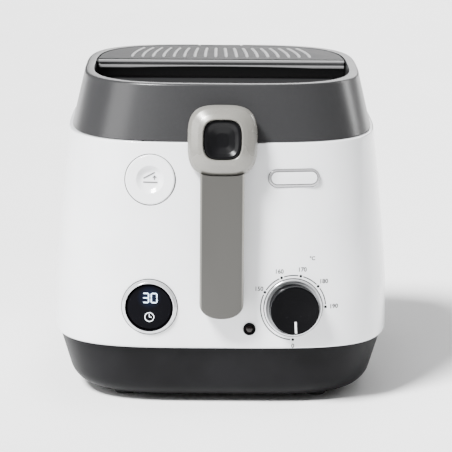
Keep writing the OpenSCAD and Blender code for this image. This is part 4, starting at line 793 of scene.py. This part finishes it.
springs = {  # keep is the share of its length that is left when its button is in
    "lidButtonSpring": {"node": "lid_button_spring", "joint": "lid_button_push", "radius": 4.6, "thick": 0.4,
                        "near": 4.6, "deep": 10.1, "turns": 3, "keep": 0.5},
    "timerSpring": {"node": "timer_spring", "joint": "timer_push", "radius": 13.3, "thick": 0.35,
                    "near": 1.3, "deep": 9.2, "turns": 3, "keep": 0.83},
    "releaseSpring": {"node": "release_spring", "joint": "release_push", "radius": 4.6, "thick": 0.4,
                      "near": -14.8, "deep": -7.5, "turns": 4, "keep": 0.7},
}


def coil(radius, thick, near, deep, turns):  # a round wire wound about Y, between two depths
    bm = bmesh.new()
    start = Matrix.Translation((radius, near + thick, 0))
    bmesh.ops.create_circle(bm, segments=12, radius=thick, matrix=start)
    steps = 30 * turns
    rise = (0, (deep - near - 2 * thick) / steps, 0)
    bmesh.ops.spin(bm, geom=bm.verts[:] + bm.edges[:], cent=(0, 0, 0), axis=(0, 1, 0), dvec=rise,
                   angle=2 * math.pi * turns, steps=steps, use_merge=False)
    bmesh.ops.edgeloop_fill(bm, edges=[e for e in bm.edges if e.is_boundary])
    bmesh.ops.recalc_face_normals(bm, faces=bm.faces)
    return bm


# a spring wound between its two depths, made as one rigid piece on its body
def settleSpring(name, rider, where, node, joint, radius, thick, near, deep, turns, keep):
    bm = placed(coil(radius, thick, near, deep, turns), where)
    spring = settle(name, bm, rider, "springSteel", [node])
    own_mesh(spring)


settleSpring("lidButtonSpring", "root", place["button"], **springs["lidButtonSpring"])
settleSpring("timerSpring", "root", place["timer"], **springs["timerSpring"])

# painted shade: thin dark rings laid deep in the gaps around the button, timer and dial so that the gaps read
# dark
gapShades = {"buttonGapShade": ("button", 20.3, shellHole["button"], 1.0, 2.0),
         "timerGapShade": ("timer", 22.4, shellHole["timerSeat"], 0.5, shellHole["seatDeep"]),
         "dishGapShade": ("dial", 23.55, shellHole["dishSeat"], 0.5, shellHole["seatDeep"])}
for name, (where, inner, outer, near, deep) in gapShades.items():  # painted shade: dark rings at the bottom of the gaps, standing in for the shade there
    outer += 0.1
    section = [(inner, near), (outer, near), (outer, deep), (inner, deep)]
    settle(name, turned(section, where=place[where], closed=True), "root", "rubberBlack")

# profiles of the controls: radius, depth behind the front, rounding
timer = {
    "ring": [(18.8, 1.0), (18.8, -1.5, 0.4), (19.5, -2.7, 0.5), (20.4, -2.7, 0.8), (21.7, -0.9, 0.8),
             (22.35, 0, 0.3), (22.35, 1.2), (19.9, 1.2), (19.9, 7.6), (18.8, 7.6)],
    "liner": [(18.7, 0.5), (18.7, -1.6), (19.3, -2.75, 0.2), (19.6, -2.85, 0.1), (19.5, -2.5), (18.9, -1.4),
              (18.9, 0.5)],
    "lens": [(0, -1.5), (11, -1.42, 30), (17.7, -1.0, 0.8), (18.5, -0.4, 0.4), (18.5, 4), (16.9, 4),
             (16.9, 1), (0, 1)],
    "faceDepth": 1.5,
}
timerRing = turned(eased(timer["ring"], 4), where=place["timer"], closed=True)
settle("timerRing", timerRing, "root", "bezelPale", ["timer_bezel"])
timerLiner = turned(eased(timer["liner"], 3), where=place["timer"], closed=True)
settle("timerLiner", timerLiner, "root", "glossBlack")

dial = {
    "knob": [(0, -11.8), (11, -12.2, 20), (18.6, -13, 0.6), (19.6, -12.4, 0.6), (20, -1, 0.5), (18.4, -1),
             (18, -10), (6, -10), (6, -1), (3.06, -1), (3.06, -9), (0, -9)],
    "dish": [(5, 5.6), (5, 3.6), (15, 3.6), (15, 1.2), (20.6, 0.2, 0.4), (22.5, -1.3, 0.8), (23.5, -0.6, 0.4),
             (23.5, 1.2), (17.8, 1.2), (17.8, 5.6)],
    "pointer": (-9.0, -18.4), "pointerWidth": 1.6, "pointerTurn": 3, "pointerDepth": 12.55,
}
knob = turned(eased(dial["knob"], 5), where=place["dial"])
settle("dialKnob", knob, "dial", "glossBlack", ["temperature_knob"])
pointer = stroke(dial["pointerWidth"], (0, dial["pointer"][0]), (0, dial["pointer"][1]), 0.5)
placed(pointer, Matrix.Rotation(math.radians(dial["pointerTurn"]), 4, "Z"))
settle("dialPointer", upright(pointer, place["dial"], dial["pointerDepth"]), "dial", "badgeWhite")
dish = turned(eased(dial["dish"], 4), where=place["dial"], closed=True)
settle("dialDish", dish, "root", "bezelPale", ["dial_dish"])

lamp = {
    "ring": [(3.35, -0.6), (3.85, -1.1, 0.3), (4.9, -1.1, 0.3), (5.15, -0.8, 0.1), (5.15, -0.2), (4.15, -0.2),
             (4.15, 8.6), (3.35, 8.6)],
    "dome": [(0, -1.6), (1.3, -1.45, 3), (2.4, -1.0, 1), (3.29, -0.2), (3.29, 7.6), (0, 7.6)],
}
lampRing = turned(eased(lamp["ring"], 3), 64, place["lamp"], closed=True)
settle("lampRing", lampRing, "root", "glossBlack", ["indicator_holder"])

print("display")


def glowing(colour, strength):
    finish, tree, shader = newFinish(colour, 0.4)
    shader.inputs["Emission Color"].default_value = (*colour, 1)
    shader.inputs["Emission Strength"].default_value = strength
    return finish


# painted light: a faint blue glow laid on the glass around the lit figures, fading with distance from them
figureGlow = {"middle": (0, -1.4, 8), "reach": 0.011, "full": 0.002, "glow": 0.05, "colour": (0.12, 0.3, 1.0, 1)}


def makeDisplayGlass():  # black glass with a painted blue glow around the lit figures
    finish, tree, shader = newFinish((0.002, 0.002, 0.003), 0.08, mirror=0.03)
    centre = intoFrame @ (place["timer"] @ Vector(figureGlow["middle"]))
    where = addNode(tree, "ShaderNodeTexCoord")
    shift = addNode(tree, "ShaderNodeVectorMath", operation="SUBTRACT")
    shift.inputs[1].default_value = centre
    far = addNode(tree, "ShaderNodeVectorMath", operation="LENGTH")
    fade = addNode(tree, "ShaderNodeMapRange", interpolation_type="SMOOTHSTEP")
    setSpan(fade, figureGlow["reach"], figureGlow["full"], 0.0, figureGlow["glow"])
    tree.links.new(where.outputs["Object"], shift.inputs[0])
    tree.links.new(shift.outputs["Vector"], far.inputs[0])
    tree.links.new(far.outputs["Value"], fade.inputs["Value"])
    tree.links.new(fade.outputs["Result"], shader.inputs["Emission Strength"])
    shader.inputs["Emission Color"].default_value = figureGlow["colour"]
    glossFrom(tree, shader, 60, (0.05, 0.11))
    return finish


finishes["displayGlass"] = makeDisplayGlass()
finishes["litFigure"] = glowing((0.62, 0.78, 1.0), 2.4)
finishes["litSign"] = glowing((0.8, 0.84, 0.9), 0.9)
finishes["printDark"] = moulded((0.004, 0.004, 0.005), (0.007, 0.007, 0.008), (0.5, 0.6), grain=900,
                                relief=0.1, mirror=0.15)
finishes["lampDome"] = moulded((0.006, 0.004, 0.004), (0.009, 0.005, 0.005), (0.05, 0.1), grain=300,
                               relief=0.03, mirror=0.35)

timerLens = turned(eased(timer["lens"], 4), where=place["timer"])
settle("timerLens", timerLens, "timer_button", "displayGlass", ["timer_lens"])
lampDome = turned(eased(lamp["dome"], 4), 64, place["lamp"])
settle("lampDome", lampDome, "root", "lampDome", ["indicator_lens"])

digit = {"width": 4.5, "height": 7.5, "bar": 0.85, "gap": 0.12, "spacing": 6.7, "thick": 0.08}
segments = {"3": "abgcd", "0": "abcdef"}


def sevenBar(kind):  # one lit bar with pointed ends
    w, h, thin, gap = digit["width"] / 2, digit["height"] / 2, digit["bar"] / 2, digit["gap"]
    ends = {"a": ((-w, h), (w, h)), "g": ((-w, 0), (w, 0)), "d": ((-w, -h), (w, -h)), "b": ((w, h), (w, 0)),
            "c": ((w, 0), (w, -h)), "e": ((-w, 0), (-w, -h)), "f": ((-w, h), (-w, 0))}
    start, end = (Vector((*p, 0)) for p in ends[kind])
    along = (end - start).normalized()
    side = along.cross(Vector((0, 0, 1))) * thin
    start, end = start + along * gap, end - along * gap
    near, far = start + along * thin, end - along * thin
    bm = bmesh.new()
    bm.faces.new([bm.verts.new(p) for p in (start, near + side, far + side, end, far - side, near - side)])
    return pushed(bm, (0, 0, digit["thick"]))


def litNumber(number, x, y):
    parts = []
    for i, figure in enumerate(number):
        across = x + (i - (len(number) - 1) / 2) * digit["spacing"]
        parts += [moved(sevenBar(kind), (across, y, 0)) for kind in segments[figure]]
    return join(*parts)


def onLens(name, drawing, finish):
    drawing = upright(drawing, place["timer"], timer["faceDepth"])
    settle(name, drawing, "timer_button", finish)


clock = {"radius": 3.6, "line": 0.55, "hand": 0.5, "minute": ((0, -0.2), (0, 2.3)),
         "hour": ((-0.2, 0), (1.9, -0.1)), "middle": (0.2, -8.0, 0)}
clockSign = join(arc(clock["radius"], clock["line"], 0, 360, digit["thick"]),
                 stroke(clock["hand"], *clock["minute"], digit["thick"]),
                 stroke(clock["hand"], *clock["hour"], digit["thick"]))
onLens("timerFigures", litNumber("30", 0.6, 7.7), "litFigure")
onLens("timerClock", moved(clockSign, clock["middle"]), "litSign")

print("printed scale")
scale = {
    "centre": (58, 83.5), "radius": 26.3, "line": 0.85, "dot": 1.15, "gap": 4.5, "figure": 4.8, "bold": 0.085,
    # each figure with its angle clockwise from the top and its distance from the middle, in order of angle
    "marks": (("0", -180.0, 31.6), ("150", -61.0, 31.8), ("160", -21.4, 31.6), ("170", 13.0, 31.6),
              ("180", 49.8, 32.2), ("190", 90.0, 33.0)),
    "unit": "°C", "unitSize": 4.2, "unitAt": (15.2, 39.6),
}


def around(angle, radius):
    a = math.radians(90 - angle)
    return radius * math.cos(a), radius * math.sin(a)


drawn = []
stops = [360 + angle for figure, angle, radius in scale["marks"]]
for start, end in zip(stops, stops[1:]):
    drawn.append(arc(scale["radius"], scale["line"], start + scale["gap"], end - scale["gap"]))
for stop in stops:
    drawn.append(dot(scale["dot"], *around(stop, scale["radius"])))
for figure, angle, radius in scale["marks"]:
    drawn.append(moved(lettering(figure, scale["figure"], scale["bold"]), (*around(angle, radius), 0)))
drawn.append(moved(lettering(scale["unit"], scale["unitSize"], scale["bold"]), (*scale["unitAt"], 0)))
printed = onSurface(join(*drawn), *scale["centre"])
bmesh.ops.recalc_face_normals(printed, faces=printed.faces)
settle("printedScale", printed, "root", "printDark")

print("handle")
handle = {"lean": math.radians(12), "width": 55.7, "high": 57.0, "thick": 23.0, "border": 12.5, "wall": 2.4,
          "square": 3.3, "fromPivot": (5.6, -22.3), "pinX": 13.6, "eyeHole": 2.06, "eye": 4.0, "eyeHalf": 2.3,
          "gripWidth": 35.2, "gripThick": 15.0, "gripWall": 2.2, "gripGap": 0.2, "gripEdge": 1.9,
          "gripTop": 6, "corner": 12.5, "endSquare": 2.15}
pivot = next(j for j in frame["record"]["behaviour"]["joints"] if j["name"] == "handle_pivot")
pivotAt = Vector(pivot["pos_m"]) / mm - Vector((0, middleY, 0))
lean = Matrix.Rotation(-handle["lean"], 4, "X")
ringPlace = Matrix.Translation(pivotAt) @ lean @ Matrix.Translation((0, *handle["fromPivot"]))


def ringPlan(angle, inset, out):  # the rounded square of the ring, its depth out of the front
    x, z = roundedPlan(handle["width"] / 2 - inset, handle["high"] / 2 - inset, handle["square"], angle)
    return Vector((x, -out, z))


def makeRing():
    t, b, wall = handle["thick"], handle["border"], handle["wall"]
    levels = eased([(wall, 2.0), (wall, 0), (0, 0, 0.6), (0, t - 9.5, 5.0), (2.4, t - 5.2, 5.0),
                    (8.0, t - 1.7, 8.0), (b - 0.8, t - 0.1, 0.5), (b, t - 1.6, 0.6), (b, 7.5),
                    (b - wall, 7.5), (b - wall, t - 4.4), (wall, t - 10.5), (wall, 2.0)], 6)
    return loft(levels[:-1], closed=True, segments=192, plan=ringPlan)


ringParts = [makeRing()]
hole, rim, half = handle["eyeHole"], handle["eye"], handle["eyeHalf"]
for side, sideName in sides:  # the two eyes on the pivot pin
    onPin = Matrix.Translation((side * handle["pinX"], -handle["fromPivot"][0], -handle["fromPivot"][1]))
    ringParts.append(turned([(hole, -half), (rim, -half), (rim, half), (hole, half)], 48,
                            onPin @ Matrix.Rotation(math.pi / 2, 4, "Z"), closed=True))
settle("handleRing", placed(join(*ringParts), ringPlace), "handle", "ringTaupe", ["handle_ring"])


def makeReleaseButton():  # glossy inner square, hollowed like a shallow dish
    b, top = handle["border"] + 0.3, handle["thick"] - 2.8
    levels = eased([(b + 8, 15), (b + 8, 10), (b + 2, 10), (b, 11.4), (b, top, 1.2),
                    (b + 2.2, top + 0.1, 1.2), (b + 5, top - 1.6, 4), (b + 10, top - 3.0, 6),
                    (b + 15, top - 3.3)], 6)
    return placed(loft(levels, segments=160, plan=ringPlan), ringPlace)


settle("releaseButton", makeReleaseButton(), "release_button", "padBlack", ["release_button"])
settleSpring("releaseSpring", "handle", ringPlace, **springs["releaseSpring"])

gripTop = ringPlace @ Vector((0, -2.4, -handle["high"] / 2 - 0.2))
gripLowZ = body["seamZ"] + 27.4
gripLowY = frontY(0, gripLowZ + 6) - 3.2
gripLean = math.atan((gripTop.y - gripLowY) / (gripTop.z - gripLowZ))
gripLength = math.hypot(gripTop.y - gripLowY, gripTop.z - gripLowZ)
gripPlace = Matrix.Translation(gripTop) @ Matrix.Rotation(-gripLean, 4, "X")


def gripBlank(inset, near, far, rounding=0.0):  # the grip's outline made solid between two depths
    half, corner, n = handle["gripWidth"] / 2 - inset, handle["corner"] - inset, handle["endSquare"]
    low = -gripLength + inset
    top, steps = handle["gripTop"], 48
    bm = bmesh.new()
    points = [(-half, top)]
    for k in range(steps + 1):
        a = math.pi * k / steps
        points.append((-half * math.copysign(abs(math.cos(a)) ** (2 / n), math.cos(a)),
                       low + corner - corner * math.sin(a) ** (2 / n)))
    points.append((half, top))
    bm.faces.new([bm.verts.new((x, -near, z)) for x, z in points])
    pushed(bm, (0, near - far, 0))
    if rounding:
        rim = [e for e in bm.edges if all(v.co.y < 0.01 - far and v.co.z < top - 0.1 for v in e.verts)]
        soften(bm, rim, rounding, 4, True)
    return bm


def paintedEdgeHighlight(dark, light, start, end):  # a painted highlight: paint that turns paler over the long side edges, where the bevels catch the light
    finish, tree, shader = newFinish(light, 0.36, 0.15)
    where, split = addNode(tree, "ShaderNodeTexCoord"), addNode(tree, "ShaderNodeSeparateXYZ")
    size = addNode(tree, "ShaderNodeMath", operation="ABSOLUTE")
    share = addNode(tree, "ShaderNodeMapRange", interpolation_type="SMOOTHSTEP")
    setSpan(share, start * mm, end * mm, 0.0, 1.0)
    tree.links.new(where.outputs["Object"], split.inputs["Vector"])
    tree.links.new(split.outputs["X"], size.inputs[0])
    tree.links.new(size.outputs["Value"], share.inputs["Value"])
    tintBy(tree, shader, share.outputs["Result"], dark, light, 0.0, 1.0)
    finePaint(tree, shader, (0.32, 0.4))
    return finish


# the grip's taupe with a painted highlight along its two long side edges
finishes["gripTaupeEdgeHighlight"] = paintedEdgeHighlight((0.043, 0.0418, 0.0378), (0.16, 0.156, 0.142), 15.7, 16.7)


def below(bm, z):  # keeps what lies below a height
    bmesh.ops.bisect_plane(bm, geom=bm.verts[:] + bm.edges[:] + bm.faces[:], plane_co=(0, 0, z),
                           plane_no=(0, 0, 1), clear_outer=True)
    bmesh.ops.edgeloop_fill(bm, edges=[e for e in bm.edges if e.is_boundary])
    bmesh.ops.recalc_face_normals(bm, faces=bm.faces)
    return bm


def makeGrip():
    wall, gap, thick = handle["gripWall"], handle["gripGap"], handle["gripThick"]
    hollow = below(gripBlank(wall, -1, thick - wall), -5.2)
    grip = placed(carve(gripBlank(0, 0, thick, handle["gripEdge"]), [hollow]), gripPlace)
    aroundRing = loft([(-gap, -8), (-gap, handle["thick"] + 8)], segments=192, plan=ringPlan)
    return carve(grip, [placed(aroundRing, ringPlace)])


settle("handleGrip", makeGrip(), "handle", "gripTaupeEdgeHighlight", ["handle_grip"])
gripBack = below(gripBlank(handle["gripWall"] + handle["gripGap"], 0.2, 2.0), -11.4)
settle("gripBack", placed(gripBack, gripPlace), "handle", "gripTaupeEdgeHighlight", ["handle_back"])

print("bowl and lid lining")
bowl = {"low": 92.0, "flange": 210.0, "inset": 36.0, "draft": 10.0, "wall": 1.6, "round": 20.0,
        "flangeInset": 25.0}


def bowlInset(z):
    return bowl["inset"] + bowl["draft"] * (bowl["flange"] - z) / (bowl["flange"] - bowl["low"])


def bowlArc(radius, inset, floorZ, steps=14):
    return [(inset + radius * (1 - math.sin(a)), floorZ + radius * (1 - math.cos(a)))
            for a in [math.pi / 2 * k / steps for k in range(steps + 1)]]


def makeBowl():
    wall, low, top = bowl["wall"], bowl["low"], bowl["flange"]
    outside = bowlArc(bowl["round"], bowlInset(low), low - wall)
    outside += [(bowlInset(z), z) for z in range(120, 206, 12)]
    flange = eased([(bowlInset(204), 204), (bowlInset(208), 208, 2.0), (bowl["flangeInset"], 208, 0.6),
                    (bowl["flangeInset"], top, 0.6), (bowl["inset"] + wall, top, 3.0),
                    (bowlInset(204) + wall, 204)], 6)
    inside = [(bowlInset(z) + wall, z) for z in range(192, 115, -12)]
    inside += bowlArc(bowl["round"] - wall, bowlInset(low) + wall, low)[::-1]
    return loft(outside + flange + inside)


settle("fryBowl", makeBowl(), "root", "nonStick", ["bowl"])

collar = {"inner": 33.4, "low": 205.5, "high": 208, "gap": 3.2}
latchNotch = block((17.4, 40, 12), (-58, -153.4, 207), 0.8)
inner, outer, low, high = collar["inner"], shellInset(210) + collar["gap"], collar["low"], collar["high"]
collarFace = eased([(inner, low + 0.5), (inner, low), (outer, low, 0.5), (outer, high, 0.5),
                    (inner, high, 0.6), (inner, low + 0.5)], 4)
innerCollar = carve(loft(collarFace[:-1], closed=True), [latchNotch])
settle("innerCollar", innerCollar, "root", "collarGrey", ["inner_collar"])

steamPlate = {"inset": 29.0, "low": 219.1, "high": 220.3, "hole": 3.0, "pitch": (18, 14), "middle": 40,
              "screwHole": 1.9, "screws": (60, 118), "edge": 0.3}


def makeSteamPlate():  # the thin metal lining under the lid, with steam holes over the rear of the bowl
    low, high = steamPlate["low"], steamPlate["high"]
    plate = prism(steamPlate["inset"], low, high)
    soften(plate, sharpEdges(plate), steamPlate["edge"], 2)
    (stepX, stepY), middle = steamPlate["pitch"], steamPlate["middle"]
    holes = [(steamPlate["hole"], stepX * i, middle + stepY * j) for i in range(-3, 4) for j in range(-3, 4)]
    holes += [(steamPlate["screwHole"], x, y) for x, y in corners(*steamPlate["screws"])]
    drills = [rod(radius, (x, y, 217), (x, y, 223), 24) for radius, x, y in holes]
    return carve(plate, [block((28, 52, 8), (0, -142, 220), 0.6), join(*drills)])


settle("steamPlate", makeSteamPlate(), "lid", "sheetSteel", ["lid_inner_plate"])

# two soft lips that press on the bowl's flange: inset, height, rounding
lidSeal = [(30.4, 218.9), (29.5, 218.9, 0.4), (29.5, 216.6, 0.4), (30.6, 215.2, 0.6), (29.5, 213.6, 0.8),
           (29.5, 210.6, 0.3), (30.2, 210.3, 0.3), (33.8, 210.3, 0.3), (34.5, 210.6, 0.3), (34.5, 213.2, 0.8),
           (33.2, 214.8, 0.6), (34.5, 216.4, 0.4), (34.5, 218.9, 0.4), (30.4, 218.9)]
sealRing = carve(loft(eased(lidSeal, 3)[:-1], closed=True), [block((28, 52, 16), (0, -142, 215))])
settle("lidSealRing", sealRing, "lid", "rubberBlack", ["lid_seal"])

print("basket")
basket = {"wide": 173.17, "deep": 213.17, "corner": 40.0, "low": 106.0, "high": 184.0, "wire": 0.62,
          "pitch": 7.5, "skin": 0.95, "bend": 7.0, "rim": 2.2, "weave": 0.5}


def wire(points, radius, flat, sides=5, closed=False):  # a round wire along a path that lies in one plane
    last = len(points) - 1

    def spot(angle, i):
        before = points[i - 1 if closed or i else 0]
        after = points[i + 1 if i < last else 0 if closed else last]
        side = (after - before).normalized().cross(flat)
        return points[i] + radius * (math.cos(angle) * flat + math.sin(angle) * side)

    return tube(sides, len(points), spot, closed)


def basketEdge(x, wide, deep, inset):  # half the length of a wire that crosses the basket at x
    straight, reach = wide / 2 - basket["corner"], basket["corner"] - inset
    far = max(0.0, abs(x) - straight)
    return deep / 2 - basket["corner"] + math.sqrt(max(0.0, reach * reach - far * far))


def crossWire(x, wide, deep):  # down one wall, over the floor and up the other wall, in the plane at x
    half = basketEdge(x, wide, deep, basket["skin"])
    low, high, bend = basket["low"] + 0.9, basket["high"] - 1.6, basket["bend"]
    step = basket["pitch"] / 2
    wall = [(half, high - step * k) for k in range(int((high - low - bend) / step) + 1)]
    curve = [(half - bend + bend * math.cos(a), low + bend - bend * math.sin(a))
             for a in [math.pi / 2 * k / 5 for k in range(1, 6)]]
    count = max(2, int((2 * (half - bend)) / step) // 2 * 2)
    across = [(half - bend - 2 * (half - bend) * k / count, low) for k in range(1, count)]
    path = wall + curve + across + [(-y, z) for y, z in (wall + curve)[::-1]]
    out = []
    for k, (y, z) in enumerate(path):
        sway = basket["wire"] * 0.9 * (1 if k % 2 else -1)
        onWall, onFloor = abs(abs(y) - half) < 0.1, abs(z - low) < 0.1
        out.append((x, y + sway * onWall, z + sway * onFloor))
    return out


def makeBasket():
    parts = []
    wide, deep, pitch, corner = basket["wide"], basket["deep"], basket["pitch"], basket["corner"]
    for size, other, crossed in ((wide, deep, False), (deep, wide, True)):  # the two ways the wires run
        flat = Vector((0, 1, 0) if crossed else (1, 0, 0))
        reach = int((size / 2 - corner + corner * 0.72) / pitch)
        paths = [crossWire(k * pitch, size, other) for k in range(-reach, reach + 1)]
        for k in range(reach + 1, int((size / 2 - 3) / pitch) + 1):  # short wires over the floor only
            for x in (-k * pitch, k * pitch):
                half = basketEdge(x, size, other, 3)
                paths.append([(x, -half, basket["low"] + 1.6), (x, half, basket["low"] + 1.6)])
        for path in paths:
            points = [Vector((y, x, z) if crossed else (x, y, z)) for x, y, z in path]
            parts.append(wire(points, basket["wire"], flat))
    levels = int((basket["high"] - 4 - basket["low"] - 6) / pitch)
    for k in range(levels + 1):
        sway = basket["weave"] * (1 if k % 2 else -1)
        loop = basketLoop(basket["low"] + 7 + k * pitch, basket["skin"], sway)
        parts.append(wire(loop, basket["wire"], Vector((0, 0, 1)), closed=True))
    return join(*parts)


def basketLoop(z, inset, sway=0.0, perCorner=17):  # once around the basket, in and out at every second wire
    w, d = basket["wide"] / 2 - basket["corner"], basket["deep"] / 2 - basket["corner"]
    radius, step = basket["corner"] - inset, basket["pitch"] / 2
    points, middles = [], ((w, d), (-w, d), (-w, -d), (w, -d))
    for quarter, (cx, cy) in enumerate(middles):
        corner = [(cx + radius * math.cos(a), cy + radius * math.sin(a))
                  for a in [math.pi / 2 * (quarter + k / perCorner) for k in range(perCorner + 1)]]
        nextX, nextY = middles[(quarter + 1) % 4]
        (fromX, fromY), count = corner[-1], 2 * int((d if quarter % 2 else w) / step)
        points += corner + [(fromX + (nextX - cx) * k / count, fromY + (nextY - cy) * k / count)
                            for k in range(1, count)]
    out = []
    for k, (x, y) in enumerate(points):
        far = Vector((x, y)).normalized() * sway * (1 if k % 2 else -1)
        out.append(Vector((x + far.x, y + far.y, z)))
    return out


settle("wovenBasket", makeBasket(), "basket", "wireSteel", ["basket_mesh"])
basketRim = wire(basketLoop(basket["high"], 0.9), basket["rim"], Vector((0, 0, 1)), 16, True)
settle("basketRimWire", basketRim, "basket", "wireSteel", ["basket_rim"])

print("finishes of the kept nodes")
kept = {
    "sheetSteel": ["heater_bracket", "heat_shield", "lid_striker", "basket_bracket"],
    "wireSteel": ["handle_pin", "hinge_pin", "latch_pin", "filter_cover_pin", "thermostat_shaft"],
    "springSteel": ["lid_spring", "base_screws", "lid_screws", "handle_screws"],
    "castAlloy": ["heater_plate", "thermal_cutout"],
    "sheathSteel": ["heating_element"],
    "drawnCopper": ["capillary_tube", "sensor_bulb"],
    "ceramicCream": ["thermostat_body"],
    "boardGreen": ["timer_board"],
    "feltPad": ["grease_filter"],
    "charcoalFoam": ["charcoal_filter"],
    "collarGrey": ["lid_button_guide", "latch_frame", "release_guide", "latch_lever"],
    "baseGrey": ["terminal_block", "cord_gland", "timer_housing"],
}
for finish, nodes in kept.items():
    for node in nodes:
        slots = frame["nodes"][node].data.materials
        slots.clear()
        slots.append(finishes[finish])

print("room")
floor = bmesh.new()
bmesh.ops.create_grid(floor, x_segments=1, y_segments=1, size=6)
floorPiece = asObject(floor, "floor")
finishes["floorPale"], floorTree, floorShader = newFinish((0.9, 0.9, 0.9), 0.55)
tintBy(floorTree, floorShader, grainOf(floorTree, 3).outputs["Fac"], (0.89, 0.89, 0.89), (0.91, 0.91, 0.91))
floorPiece.data.materials.append(finishes["floorPale"])

world = bpy.data.worlds.new("room")
bpy.context.scene.world = world
world.use_nodes = True
sky = world.node_tree.nodes["Background"].inputs
sky["Color"].default_value, sky["Strength"].default_value = (1, 1, 1, 1), 0.35


def facing(where, aim):
    return (Vector(aim) - Vector(where)).to_track_quat("-Z", "Y").to_euler()


daylight = {"power": 14.0, "spread": 17, "from": (-0.45, -0.45, 0.77)}
sun = addThing("sun", bpy.data.lights.new("sun", "SUN"))
sun.data.energy, sun.data.angle = daylight["power"], math.radians(daylight["spread"])
sun.rotation_euler = facing(daylight["from"], (0, 0, 0))
softboxes = {  # azimuth in degrees to the right of the front
    "leftLight": {"azimuth": -66, "height": 0.8, "distance": 1.9, "size": (1.2, 0.8), "power": 17},
    "rightLight": {"azimuth": 120, "height": 0.8, "distance": 1.9, "size": (0.3, 0.9), "power": 10},
    "backLight": {"azimuth": 168, "height": 2.2, "distance": 6.0, "size": (3.6, 2.4), "power": 110},
}
for name, box in softboxes.items():
    light = bpy.data.lights.new(name, "AREA")
    light.shape, light.energy = "RECTANGLE", box["power"]
    light.size, light.size_y = box["size"]
    a = math.radians(box["azimuth"])
    made = addThing(name, light)
    made.location = (box["distance"] * math.sin(a), -box["distance"] * math.cos(a), box["height"])
    made.rotation_euler = facing(made.location, (0, 0, 0.16))

eye = {"elevation": math.radians(10.15), "azimuth": math.radians(-0.45), "roll": math.radians(0.42),
       "distance": 2.2, "aimZ": 0.14, "lens": 202.35, "shift": (0.0123, -0.0518)}
camera = addThing("camera", bpy.data.cameras.new("camera"))
bpy.context.scene.camera = camera
camera.data.sensor_width, camera.data.lens = 36, eye["lens"]
camera.data.shift_x, camera.data.shift_y = eye["shift"]
swing = Matrix.Rotation(eye["azimuth"], 3, "Z")
aim = swing @ Matrix.Rotation(math.pi / 2 - eye["elevation"], 3, "X")
camera.rotation_euler = (aim @ Matrix.Rotation(eye["roll"], 3, "Z")).to_euler()
away = swing @ Matrix.Rotation(-eye["elevation"], 3, "X") @ Vector((0, -eye["distance"], 0))
camera.location = Vector((0, middleY * mm, eye["aimZ"])) + away

for name, finish in finishes.items():
    finish.name = name
